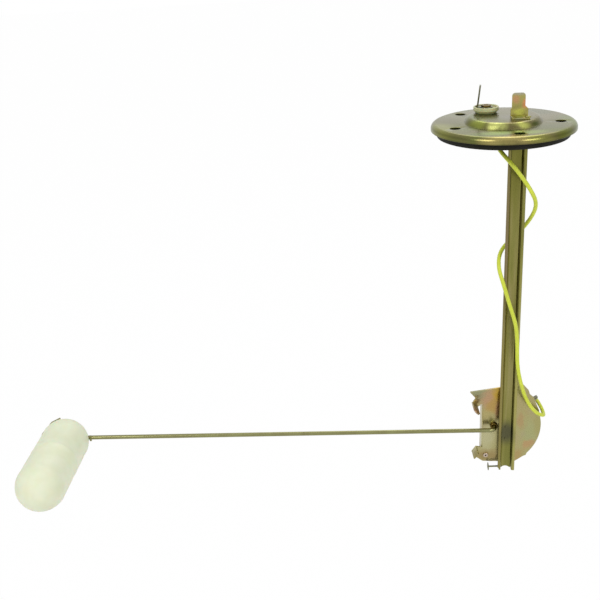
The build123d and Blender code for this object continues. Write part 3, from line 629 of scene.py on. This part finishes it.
flangeSteel = passivatedSteel("yellowPassivatedFlange", flangeLook)
stemSteel = passivatedSteel("yellowPassivatedStem", stemLook)
plateSteel = passivatedSteel("yellowPassivatedPlate", plateLook)
tabSteel = passivatedSteel("yellowPassivatedTab", tabLook)
caseSteel = passivatedSteel("yellowPassivatedCase", caseLook)
# spring wire with a thin gold passivate: brighter than the pressings, drawn smooth
wireSteel = plainMaterial(
    "passivatedDrawnWire", "#838058", "#8c8c60", roughness=0.22, grain=0.6, bump=0.04, metallic=1.0,
)
# moulded nitrile rubber: nearly black, dull, with a trace of bloom
rubber = plainMaterial(
    "mouldedNitrileRubber", "#17170f", "#22211a", roughness=0.62, grain=0.25, bump=0.4, shine=0.15,
)
# moulded nylon washer: pale, slightly waxy
nylon = plainMaterial(
    "mouldedNylonWasher", "#b4b888", "#c2c698", roughness=0.42, grain=0.3, bump=0.1, subsurface=0.15,
)
# blow-moulded nylon float: milky, soft gloss, light carries a little way in
floatNylon = plainMaterial(
    "blowMouldedNylonFloat", "#dde2c2", "#e5e9ce", roughness=0.46, grain=0.35, bump=0.12, subsurface=0.25,
)
# vulcanised fibre board: dark red-brown, fibrous
fibre = plainMaterial("vulcanisedFibre", "#5a3326", "#6d4030", roughness=0.7, grain=0.2, bump=0.5)
# tinned brass strip: grey-white metal, softly bright
tinnedBrass = plainMaterial(
    "tinnedBrassStrip", "#6a6a52", "#7a7860", roughness=0.3, grain=0.3, bump=0.15, metallic=1.0,
)
# turned brass: warm yellow, bright
brass = plainMaterial(
    "turnedBrass", "#8a7434", "#9c843e", roughness=0.28, grain=0.3, bump=0.15, metallic=1.0,
)
# the same brass painted dark brown, standing for the dark reflections and shade on the terminal's rivet and
# the bearing
shadedBrass = plainMaterial(
    "darkShadedBrass", "#5a4a22", "#705c2c", roughness=0.34, grain=0.3, bump=0.2, metallic=1.0,
)
# drawn eyelet of the plate: pale, with a pink cast
paleEyelet = plainMaterial(
    "platedEyelet", "#b8a898", "#c4b4a0", roughness=0.3, grain=0.3, bump=0.15, metallic=1.0,
)
# drawn resistance alloy: silver-grey
resistanceAlloy = plainMaterial(
    "drawnResistanceAlloy", "#9a9790", "#aaa69c", roughness=0.3, grain=0.2, bump=0.2, metallic=1.0,
)
# extruded PVC sleeve: yellow-green, soft, slightly shiny
sleevePvc = plainMaterial(
    "extrudedPvcSleeve", "#c6d03e", "#d0da48", roughness=0.45, grain=1.2, bump=0.05, shine=0.35,
)
# soft solder: dull silver lump
solderTin = plainMaterial(
    "softSolder", "#a8a89c", "#b8b8ac", roughness=0.35, grain=0.4, bump=0.3, metallic=1.0,
)
# zinc-plated pin: grey with a brown tinge in the film
pinZinc = plainMaterial(
    "zincPlatedPin", "#6e6e4a", "#62623e", roughness=0.32, grain=0.3, bump=0.2, metallic=1.0,
)
print("materials made")


# Flange: one pressed disc, raised in the middle and rolled down at the rim
flangeLow, flangeHigh = cadBox("flange")
gasketLow, gasketHigh = cadBox("gasket")
flange = {
    "radius": (flangeHigh.x - flangeLow.x) / 2,
    "sheet": 1.2,
    "under": gasketHigh.z,
    "low": flangeLow.z,
    "rimRoll": 2.4,
    "plateauTop": 9.4,
    "plateauTopRadius": 17.2,
    "plateauBaseRadius": 18.9,
    "shoulder": 3.0,
    "boltCircle": 27.0,     # its radius
    "boltHole": 2.6,
    "boltCount": 5,
    "boltStart": 60.0,
    "terminal": (-7.005, 9.196),
    "terminalHole": 2.9,
    "edge": 0.18,
    "crease": 0.3,
    "soft": 0.12,
    "drillTop": 14.0,
}


def flangeProfile(size):
    top = size["under"] + size["sheet"]
    outer = size["radius"]
    inner = outer - size["sheet"]
    roll = size["rimRoll"]
    run = size["plateauBaseRadius"] - size["plateauTopRadius"]
    slope = math.hypot(run, size["plateauTop"] - top)
    shift = size["sheet"] * (slope - run) / (size["plateauTop"] - top)
    corners = [
        (0, size["plateauTop"]),
        (size["plateauTopRadius"], size["plateauTop"]),
        (size["plateauBaseRadius"], top),
        (outer, top),
        (outer, size["low"]),
        (inner, size["low"]),
        (inner, size["under"]),
        (size["plateauBaseRadius"] - shift, size["under"]),
        (size["plateauTopRadius"] - shift, size["plateauTop"] - size["sheet"]),
        (0, size["plateauTop"] - size["sheet"]),
    ]
    edge = size["edge"]
    crease = size["crease"]
    inside = size["shoulder"] - size["sheet"]
    radii = [0, size["shoulder"], crease, roll, edge, edge, roll - size["sheet"], crease, inside, 0]
    return roundCorners(corners, radii, steps=6, closed=False)


def drillAll(piece, spots, radius):
    for spot in spots:
        drillHole(piece, radius, -cutterPast, flange["drillTop"], place=(*spot, 0))


boltStart = flange["boltStart"]
boltSpots = arcPoints(
    (0, 0), flange["boltCircle"], boltStart, boltStart + 360, steps=flange["boltCount"],
)[:-1]
flangePressing = turnPiece("flangePressing", flangeProfile(flange), steps=144)
drillAll(flangePressing, boltSpots, flange["boltHole"])
drillAll(flangePressing, [flange["terminal"]], flange["terminalHole"])
softenEdges(flangePressing, flange["soft"], angle=50)
finish(flangePressing, flangeSteel, "yellow_passivated", "sender", "flange")


# Gasket: a thick moulded ring, with a fine parting line round its outer wall
gasket = {
    "radius": (gasketHigh.x - gasketLow.x) / 2,
    "bore": 21.0,
    "height": gasketHigh.z,
    "edge": 0.6,
    "boreEdge": 0.2,
    "parting": 0.12,
    "soft": 0.1,
}


def gasketProfile(size):
    middle = size["height"] / 2
    outer = size["radius"] - size["parting"]
    line = size["parting"]
    corners = [
        (size["bore"], 0), (outer, 0), (outer, middle - line), (outer + line, middle),
        (outer, middle + line), (outer, size["height"]), (size["bore"], size["height"]),
    ]
    radii = [size["boreEdge"], size["edge"], 0, 0, 0, size["edge"], size["boreEdge"]]
    return roundCorners(corners, radii)


gasketRing = turnPiece("gasketRing", gasketProfile(gasket), steps=144, closed=True)
drillAll(gasketRing, boltSpots, flange["boltHole"])
softenEdges(gasketRing, gasket["soft"], angle=60)
finish(gasketRing, rubber, "nitrile_rubber", "sender", "gasket")


# Terminal insulator: a moulded washer with a raised rim round the seat of the blade
insulator = {
    "radius": 6.2, "height": 3.0, "seat": 2.1, "seatRadius": 5.1, "chamfer": 1.3, "bore": 1.65,
    "spigot": 2.87, "spigotLow": 8.2, "soft": 0.08,
    "rounding": [0, 0, 0, 0.1, 0.3, 0.3, 0.3, 0.15, 0],
}
terminalSpot = flange["terminal"]
insulatorProfile = roundCorners(
    [
        (insulator["bore"], insulator["spigotLow"]), (insulator["spigot"], insulator["spigotLow"]),
        (insulator["spigot"], flange["plateauTop"]),
        (insulator["radius"] - insulator["chamfer"], flange["plateauTop"]),
        (insulator["radius"], flange["plateauTop"] + insulator["chamfer"]),
        (insulator["radius"], flange["plateauTop"] + insulator["height"]),
        (insulator["seatRadius"], flange["plateauTop"] + insulator["height"]),
        (insulator["seatRadius"], flange["plateauTop"] + insulator["seat"]),
        (insulator["bore"], flange["plateauTop"] + insulator["seat"]),
    ],
    insulator["rounding"],
)
terminalWasher = turnPiece(
    "terminalWasher", insulatorProfile, steps=72, closed=True, place=(*terminalSpot, 0),
)
softenEdges(terminalWasher, insulator["soft"], angle=50)
finish(terminalWasher, nylon, "nylon", "sender", "terminal_insulator")


# Terminal rivet: a tube spread over at both ends
rivetLow, rivetHigh = cadBox("terminal_rivet")
rivet = {"shank": 1.6, "bore": 0.8, "head": 2.4, "headHeight": 0.8, "lip": 0.36, "crease": 0.15, "soft": 0.03}


def rivetProfile(size, low, high):
    head = size["headHeight"]
    corners = [
        (size["bore"], low), (size["head"], low), (size["head"], low + head), (size["shank"], low + head),
        (size["shank"], high - head), (size["head"], high - head), (size["head"], high), (size["bore"], high),
    ]
    lip = size["lip"]
    crease = size["crease"]
    return roundCorners(corners, [lip / 2, lip, crease, 0, 0, crease, lip, lip], steps=6)


terminalEyelet = turnPiece(
    "terminalEyelet", rivetProfile(rivet, rivetLow.z, rivetHigh.z), steps=48, closed=True,
    place=(*terminalSpot, 0),
)
softenEdges(terminalEyelet, rivet["soft"], segments=1, angle=60)
finish(terminalEyelet, shadedBrass, "brass", "sender", "terminal_rivet")


# Supply blade: a foot under the rivet head, and a 6.3 mm tab bent up from it
blade = {
    "width": 6.3, "sheet": 0.8, "height": 10.8, "lean": 6.5, "offset": 4.2, "turn": -10.0,
    "footRadius": 3.2, "footSweep": 150, "footHalf": 2.4, "hole": 1.65, "tip": 1.26, "neck": 1.6,
    "soft": 0.14,
}


def makeBlade(size, base):
    half = size["width"] / 2
    tip = size["tip"]
    height = size["height"]
    sheet = size["sheet"]
    offset = size["offset"]
    footHalf = size["footHalf"]
    foot = sheetPiece(
        "supplyBlade",
        arcPoints((0, 0), size["footRadius"], -size["footSweep"], size["footSweep"], steps=30)
        + [(-offset, footHalf), (-offset - sheet / 2, footHalf),
           (-offset - sheet / 2, -footHalf), (-offset, -footHalf)],
        sheet,
    )
    drillHole(foot, size["hole"], -cutterPast, 2 * cutterPast, steps=32)
    tab = sheetPiece(
        "tab",
        [(-footHalf, 0), (-half, size["neck"]), (-half, height - tip), (-half + tip, height),
         (half - tip, height), (half, height - tip), (half, size["neck"]), (footHalf, 0)],
        sheet,
        place=(sheet / 2, 0, 0),
        turn=(90, 0, -90),
    )
    placePiece(tab, (-offset, 0, sheet / 2), (0, size["lean"], 0))
    cut(foot, tab, "UNION")
    placePiece(foot, (*terminalSpot, base), (0, 0, size["turn"]))
    return foot


bladeBase = flange["plateauTop"] + insulator["seat"]
supplyBlade = makeBlade(blade, bladeBase)
softenEdges(supplyBlade, blade["soft"])
finish(supplyBlade, tinnedBrass, "tinned_brass", "sender", "supply_terminal")


# Earth tab: a foot held down by the stem's tongues and a 6.3 mm tab bent up at its back edge
earth = {
    "place": (6.8, -3.8), "turn": -5.0, "sheet": 0.8, "footWidth": 8.6, "footLength": 7.4,
    "shoulderWidth": 8.3, "shoulderHeight": 3.7, "width": 6.3, "height": 11.3, "shift": -0.45,
    "rounding": [0, 0.3, 0.3, 1.5, 1.5, 0.6, 0.5, 0], "footCorner": 0.4, "soft": 0.18,
}


def makeEarthTab(size):
    sheet = size["sheet"]
    half = size["shoulderWidth"] / 2
    left = size["shift"] - size["width"] / 2
    right = size["shift"] + size["width"] / 2
    shoulder = size["shoulderHeight"]
    top = size["height"]
    tab = sheetPiece(
        "earthTabPressing",
        roundCorners(
            [(-half, 0), (-half, shoulder), (left, shoulder + half + left), (left, top), (right, top),
             (right, shoulder + half - right), (half, shoulder), (half, 0)],
            size["rounding"],
        ),
        sheet,
        place=(0, sheet / 2, 0),
        turn=(90, 0, 0),
    )
    footHalf = size["footWidth"] / 2
    footEnd = -size["footLength"] - sheet / 2
    foot = sheetPiece(
        "foot",
        roundCorners(
            [(-footHalf, footEnd), (footHalf, footEnd), (footHalf, sheet / 2), (-footHalf, sheet / 2)],
            [size["footCorner"]] * 4,
        ),
        sheet,
    )
    cut(tab, foot, "UNION")
    placePiece(tab, (*size["place"], flange["plateauTop"]), (0, 0, size["turn"]))
    return tab


earthTab = makeEarthTab(earth)
softenEdges(earthTab, earth["soft"], segments=3)
finish(earthTab, tabSteel, "yellow_passivated", "sender", "earth_tab")


# Stem: a folded channel with lips turned out, and two tongues folded over above the flange
stemLow, stemHigh = cadBox("stem")
stem = {
    "middle": 5.55, "width": 7.5, "sheet": 0.9, "bend": 1.6, "lip": 0.85,
    "front": stemLow.y, "back": stemHigh.y, "low": stemLow.z, "under": 8.2, "top": stemHigh.z,
    "lipEdge": 0.3, "lipBack": 0.2, "lipRoot": 0.15,
    "tongue": 2.0, "tongueRoot": 1.0, "fold": 1.8, "foldSheet": 0.5, "foldRounding": [0, 0, 0, 0, 0.2, 0.4],
    "lipRise": 1.9, "lipCut": 0.93, "webRise": 0.9, "arch": 2.9,
    "welds": [(5.6, -161.5), (5.6, -168.9)], "weldRadius": 1.0, "weldDepth": 0.25,
    "sections": (-150, -100, -50), "tuck": 0.02, "soft": 0.1,
}


def makeStem(size):
    left = size["middle"] - size["width"] / 2
    right = size["middle"] + size["width"] / 2
    sheet = size["sheet"]
    bend = size["bend"]
    lip = size["lip"]
    front = size["front"]
    back = size["back"]
    section = roundCorners(
        [
            (left - lip, front), (left - lip, front + sheet), (left, front + sheet), (left, back),
            (right, back), (right, front + sheet), (right + lip, front + sheet), (right + lip, front),
            (right - sheet, front), (right - sheet, back - sheet), (left + sheet, back - sheet),
            (left + sheet, front),
        ],
        [size["lipEdge"], size["lipBack"], size["lipRoot"], bend, bend, size["lipRoot"], size["lipBack"],
         size["lipEdge"], sheet, bend - sheet, bend - sheet, sheet],
        steps=6,
    )
    channel = sheetPiece("stemChannel", section, size["under"] - size["low"], place=(0, 0, size["low"]))
    edit(channel)
    for height in size["sections"]:
        bpy.ops.mesh.select_all(action="SELECT")
        bpy.ops.mesh.bisect(plane_co=(0, 0, height * mm), plane_no=(0, 0, 1))
    cleanMesh(channel)
    # the electrodes of the spot welder left a shallow dish over each weld
    for across, height in size["welds"]:
        ball = size["weldRadius"] ** 2 / (2 * size["weldDepth"])
        clearSelection()
        bpy.ops.mesh.primitive_uv_sphere_add(
            segments=48, ring_count=32, radius=ball * mm,
            location=(across * mm, (back - sheet - ball + size["weldDepth"]) * mm, height * mm),
        )
        cut(channel, bpy.context.object)
    # at the lower end the left lip stops short and the web is arched
    reach = lip + 2 * sheet
    corner = sheetPiece(
        "corner",
        [(-reach, -cutterPast), (reach, -cutterPast), (reach, size["lipCut"]), (-reach, size["lipCut"])],
        size["lipRise"] + cutterPast,
        place=(left - lip, front, size["low"] - cutterPast),
    )
    cut(channel, corner)
    archPlace = (size["middle"], back + sheet / 2, size["low"] + size["webRise"] - size["arch"])
    drillHole(channel, size["arch"], -cutterPast, 3 * sheet, steps=64, place=archPlace, turn=(90, 0, 0))
    softenEdges(channel, size["soft"])
    # each tongue grows out of a side wall, from a hair inside it
    tuck = size["tuck"]
    tongues = []
    for edge in (left, right - sheet):
        low = edge + tuck
        high = edge + sheet - tuck
        root = size["under"] - size["tongueRoot"]
        crook = size["top"] - size["foldSheet"]
        end = edge + sheet + size["fold"]
        riser = roundCorners(
            [(low, root), (high, root), (high, crook), (end, crook), (end, size["top"]), (low, size["top"])],
            size["foldRounding"],
        )
        tongue = sheetPiece(
            "tongue", riser, size["tongue"] - 2 * tuck,
            place=(0, front + size["tongue"] - tuck, 0), turn=(90, 0, 0),
        )
        softenEdges(tongue, size["soft"])
        tongues.append(tongue)
    pick(channel)
    for tongue in tongues:
        tongue.select_set(True)
    bpy.ops.object.join()
    return channel


stemChannel = makeStem(stem)
finish(stemChannel, stemSteel, "yellow_passivated_stem", "sender", "stem")


# Bracket plate: the front of the case, with its flag, lug, stop and folded side wall
bracket = {
    "pivot": (-1.0, -161.3),
    "front": -6.5,
    "sheet": 0.9,
    "side": -6.7, "sideTop": 14.1, "sideLow": -13.4, "wall": 5.5,
    "stopRoot": (-9.7, -12.8), "stopTip": (-12.0, -16.1), "stopReach": 7.0,
    "lugStart": (-11.9, 15.5), "lugStop": (-9.0, 12.65), "lugReach": 9.2, "lugWidth": 4.1,
    "bearing": 1.68, "eyelet": (-4.2, -18.55), "eyeletHole": 0.93, "tuck": 0.02, "soft": 0.2,
    # the edge from the pivot's right over the top to the lug, and from the stop along the foot
    "topEdge": [
        (24.4, 8.7), (21.0, 17.2), (19.0, 19.0), (18.2, 21.6), (11.7, 29.4), (8.0, 29.4), (4.0, 24.1),
        (-13.6, 21.8), (-10.35, 17.9),
    ],
    "footEdge": [(-10.3, -19.1), (-5.8, -22.4), (11.6, -23.5), (16.7, -20.0), (18.15, -19.4)],
    "backArc": ((18.65, -18.0), (25.6, -1.3), (24.4, 7.2)),
    "rounding": [
        0.8, 1.5, 1.0, 1.0, 1.2, 1.0, 3.0, 0.3, 1.2, 0.6, 0.3, 0.5, 0.5, 0, 0, 0.5, 0.8, 0.8, 0.6, 0.4,
    ],
}


def stripAlong(size, name, start, end, outline, depth, setIn):
    # a strip that stands forward along the plate's edge, set in from that edge by this much
    run = Vector(end) - Vector(start)
    inward = Vector((-run.y, run.x)).normalized() * setIn
    strip = sheetPiece(name, outline, depth, turn=(180, 0, 0))
    softenEdges(strip, size["soft"])
    pivotX, pivotZ = size["pivot"]
    foot = Vector(start) + inward
    back = size["front"] + size["sheet"] - size["tuck"]
    turned = -math.degrees(math.atan2(run.y, run.x))
    placePiece(strip, (pivotX + foot.x, back, pivotZ + foot.y), (0, turned, 0))
    return strip


def makeBracket(size):
    sheet = size["sheet"]
    tuck = size["tuck"]
    sideTop = (size["side"], size["sideTop"])
    sideLow = (size["side"], size["sideLow"])
    leftEdge = [size["lugStart"], size["lugStop"], sideTop, sideLow, size["stopRoot"], size["stopTip"]]
    outline = roundCorners(size["topEdge"] + leftEdge + size["footEdge"], size["rounding"], steps=4)
    outline += arcThrough(*size["backArc"], steps=24)
    up = (90, 0, 0)
    pivotX, pivotZ = size["pivot"]
    back = size["front"] + sheet
    plate = sheetPiece("bracketPressing", outline, sheet, place=(pivotX, back, pivotZ), turn=up)
    # the edge that turns back into the side wall is rounded by the sheet's thickness
    bend = arcPoints((sheet, sheet), sheet + tuck, 270, 180, steps=8)
    wallFoot = (pivotX + size["side"], size["front"], pivotZ + size["sideLow"])
    fold = [(-cutterPast, -cutterPast), (sheet, -cutterPast)] + bend + [(-cutterPast, sheet)]
    cut(plate, sheetPiece("fold", fold, size["sideTop"] - size["sideLow"], place=wallFoot))
    for radius, (across, height) in ((size["bearing"], (0, 0)), (size["eyeletHole"], size["eyelet"])):
        spot = (pivotX + across, size["front"], pivotZ + height)
        drillHole(plate, radius, -2 * cutterPast, 2 * cutterPast, place=spot, turn=up)
    softenEdges(plate, size["soft"])
    # the wall, the stop and the lug grow out of the plate, each from a hair inside it
    end = size["wall"] + sheet
    inside = arcPoints((sheet, sheet), sheet - tuck, 270, 180, steps=8)
    wall = sheetPiece("wall", inside + [(tuck, end), (sheet, end)],
                      size["sideTop"] - size["sideLow"] - 2 * tuck,
                      place=(wallFoot[0], wallFoot[1], wallFoot[2] + tuck))
    softenEdges(wall, size["soft"])
    length = (Vector(size["stopTip"]) - Vector(size["stopRoot"])).length - tuck
    stop = stripAlong(
        size, "stop", size["stopRoot"], size["stopTip"],
        [(tuck, 0), (length, 0), (length, sheet + size["stopReach"]), (tuck, sheet + size["stopReach"])],
        sheet, sheet + tuck,
    )
    width = size["lugWidth"]
    reach = sheet + size["lugReach"] - width / 2
    middle = (Vector(size["lugStop"]) - Vector(size["lugStart"])).length - width / 2
    roundEnd = arcPoints((middle, reach), width / 2, 0, 180, steps=16)
    lug = stripAlong(
        size, "lug", size["lugStart"], size["lugStop"],
        [(middle - width / 2, 0), (middle + width / 2, 0)] + roundEnd, sheet, tuck,
    )
    pick(plate)
    for piece in (wall, stop, lug):
        piece.select_set(True)
    bpy.ops.object.join()
    return plate


bracketPressing = makeBracket(bracket)
finish(bracketPressing, plateSteel, "yellow_passivated_plate", "sender", "bracket_plate")


# Pivot bush: a flanged bearing set in the plate
bush = {
    "radius": 1.65, "flange": 2.0, "flangeHeight": 0.8, "bore": 1.2, "tail": 3.1,
    "rounding": [0.1, 0.2, 0, 0.15, 0.3, 0.2], "soft": 0.03,
}
pivotPlace = (bracket["pivot"][0], bracket["front"], bracket["pivot"][1])
bushProfile = roundCorners(
    [(bush["bore"], -bush["tail"]), (bush["radius"], -bush["tail"]), (bush["radius"], 0),
     (bush["flange"], 0), (bush["flange"], bush["flangeHeight"]), (bush["bore"], bush["flangeHeight"])],
    bush["rounding"],
    steps=4,
)
pivotBush = turnPiece("pivotBearing", bushProfile, steps=48, closed=True, place=pivotPlace, turn=(90, 0, 0))
softenEdges(pivotBush, bush["soft"], segments=1, angle=60)
finish(pivotBush, shadedBrass, "brass", "sender", "pivot_bush")


# Foot pin: a headed pin through the channel's left side
pinLow, pinHigh = cadBox("foot_pin")
pin = {
    "radius": 0.45, "head": 2.2, "headHeight": 0.6, "domeEdge": 0.9, "domeDrop": 0.1, "rim": 0.35,
    "length": pinHigh.x - pinLow.x, "rounding": [0, 1.0, 0.1, 0.1, 0.2, 0.2, 0], "soft": 0.04,
}
pinProfile = roundCorners(
    [(0, 0), (pin["domeEdge"], pin["domeDrop"]), (pin["head"], pin["rim"]), (pin["head"], pin["headHeight"]),
     (pin["radius"], pin["headHeight"]), (pin["radius"], pin["length"]), (0, pin["length"])],
    pin["rounding"],
    steps=4,
    closed=False,
)
pinPlace = (pinLow.x, (pinLow.y + pinHigh.y) / 2, (pinLow.z + pinHigh.z) / 2)
footPin = turnPiece("footPinTurned", pinProfile, steps=40, place=pinPlace, turn=(0, 90, 0))
softenEdges(footPin, pin["soft"], segments=1, angle=60)
finish(footPin, pinZinc, "zinc_pin", "sender", "foot_pin")


# Float: a blow-moulded capsule with a faint seam round its middle, drilled across for the wire
floatLow, floatHigh = cadBox("float")
floatSize = {
    "radius": 13.0,
    "length": 68.0,
    "turn": 1.1,
    "tilt": 0.7,
    "seam": 0.12,
    "seamHalf": 0.5,
    "blend": 2.0,
    "hole": 1.2,
    "setback": 4.7,
    "armRise": 1.05,    # degrees that the arm climbs towards the float
    "soft": 0.15,
}


def makeFloat(size, low, high):
    radius = size["radius"] - size["seam"]
    seam = size["seam"]
    half = size["length"] / 2
    straight = half - size["radius"]
    end = arcPoints((0, -straight), radius + seam, -90, 0, steps=20)
    far = arcPoints((0, straight), radius + seam, 0, 90, steps=20)
    ridge = size["seamHalf"]
    level = straight - size["blend"]
    profile = end[:-1] + [
        (radius, -level), (radius, -ridge), (radius + seam, 0), (radius, ridge), (radius, level),
    ] + far[1:]
    middle = ((low.x + high.x) / 2, (low.y + high.y) / 2, (low.z + high.z) / 2)
    lie = (90 - size["tilt"], 0, -size["turn"])
    capsule = turnPiece("floatCapsule", profile, steps=96, place=middle, turn=lie)
    drillHalf = 2 * size["radius"]
    outwards = straight + size["setback"]
    turned = math.radians(size["turn"])
    tilted = math.radians(size["tilt"])
    holePlace = (
        middle[0] + outwards * math.sin(turned), middle[1] + outwards * math.cos(turned),
        middle[2] - outwards * math.sin(tilted),
    )
    along = (0, size["armRise"] - 90, 0)
    drillHole(capsule, size["hole"], -drillHalf, drillHalf, steps=32, place=holePlace, turn=along)
    return capsule


floatCapsule = makeFloat(floatSize, floatLow, floatHigh)
softenEdges(floatCapsule, floatSize["soft"], angle=50)
finish(floatCapsule, floatNylon, "float_nylon", "arm", "float")


# Carried-over nodes: their shape is right, and each gets the finish of what it is
carriedOver = {
    "case": caseSteel,
    "inner_insulator": nylon,
    "supply_tag": tinnedBrass,
    "insulating_liner": fibre,
    "card_former": fibre,
    "resistance_winding": resistanceAlloy,
    "card_rivet": paleEyelet,
    "outlet_bush": nylon,
    "outlet_tag": tinnedBrass,
    "float_arm": wireSteel,
    "spring_washer": tinnedBrass,
    "wiper_hub": nylon,
    "wiper_blade": brass,
    "wiper_contact": resistanceAlloy,
    "spindle_clip": pinZinc,
    "supply_solder": solderTin,
    "outlet_solder": solderTin,
}
for nodeName, nodeMaterial in carriedOver.items():
    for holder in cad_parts[nodeName].material_slots:
        holder.material = nodeMaterial
print("carried-over nodes finished")

leadSleeve.data.materials.append(sleevePvc)
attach(leadSleeve, "sender")
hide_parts("lead_wire")


# Studio: white all round for the camera and for reflections, plain soft light on the object
studio = {
    "floorLevel": -420.0,
    "floorSize": 12000.0,
    "fill": 0.55,
    "paperGlow": 0.985,  # the rest is paper, which takes the shadow
    "aim": (-60, 0, -80),
    "lamps": [
        {"place": (-900, -1000, 900), "size": 700, "power": 8.0},
        {"place": (800, -1100, 700), "size": 600, "power": 6.5},
        {"place": (200, 900, 1100), "size": 900, "power": 5.0},
    ],
}


def seenDirectly(tree):
    # 1 for what the camera, a reflection or a transmitted ray sees, 0 for light that reaches the object
    path = addNode(tree, "ShaderNodeLightPath")
    first = addNode(
        tree, "ShaderNodeMath", {"operation": "MAXIMUM"},
        {0: path.outputs["Is Camera Ray"], 1: path.outputs["Is Glossy Ray"]},
    )
    second = addNode(
        tree, "ShaderNodeMath", {"operation": "MAXIMUM"},
        {0: first.outputs["Value"], 1: path.outputs["Is Transmission Ray"]},
    )
    return second.outputs["Value"]


def makeStudio(size):
    scene = bpy.context.scene
    world = bpy.data.worlds.new("studioWhite")
    scene.world = world
    world.use_nodes = True
    tree = world.node_tree
    tree.nodes.clear()
    fill = addNode(tree, "ShaderNodeBackground", {"Color": colour("#ffffff"), "Strength": size["fill"]})
    white = addNode(tree, "ShaderNodeBackground", {"Color": colour("#ffffff"), "Strength": 1.0})
    mix = addNode(
        tree, "ShaderNodeMixShader",
        links={0: seenDirectly(tree), 1: fill.outputs["Background"], 2: white.outputs["Background"]},
    )
    addNode(tree, "ShaderNodeOutputWorld", links={"Surface": mix.outputs["Shader"]})

    clearSelection()
    bpy.ops.mesh.primitive_grid_add(
        x_subdivisions=8, y_subdivisions=8, size=size["floorSize"] * mm,
        location=(0, 0, size["floorLevel"] * mm),
    )
    floor = bpy.context.object
    floor.name = "studioFloor"
    material, tree, _ = newMaterial("studioPaper")
    paper = addNode(tree, "ShaderNodeBsdfDiffuse", {"Color": colour("#fafafa")})
    glow = addNode(tree, "ShaderNodeEmission", {"Color": colour("#ffffff"), "Strength": 1.0})
    share = addNode(
        tree, "ShaderNodeMath", {"operation": "MULTIPLY", 1: size["paperGlow"]}, {0: seenDirectly(tree)},
    )
    mix = addNode(
        tree, "ShaderNodeMixShader",
        links={0: share.outputs["Value"], 1: paper.outputs["BSDF"], 2: glow.outputs["Emission"]},
    )
    addNode(tree, "ShaderNodeOutputMaterial", links={"Surface": mix.outputs["Shader"]})
    floor.data.materials.append(material)

    target = Vector(size["aim"]) * mm
    for index, lamp in enumerate(size["lamps"]):
        place = Vector(lamp["place"]) * mm
        bpy.ops.object.light_add(type="AREA", location=place)
        light = bpy.context.object
        light.name = f"softbox{index + 1}"
        light.data.energy = lamp["power"]
        light.data.size = lamp["size"] * mm
        light.rotation_euler = (target - place).to_track_quat("-Z", "Y").to_euler()
    scene.view_settings.view_transform = "Standard"


makeStudio(studio)
print("studio lit")
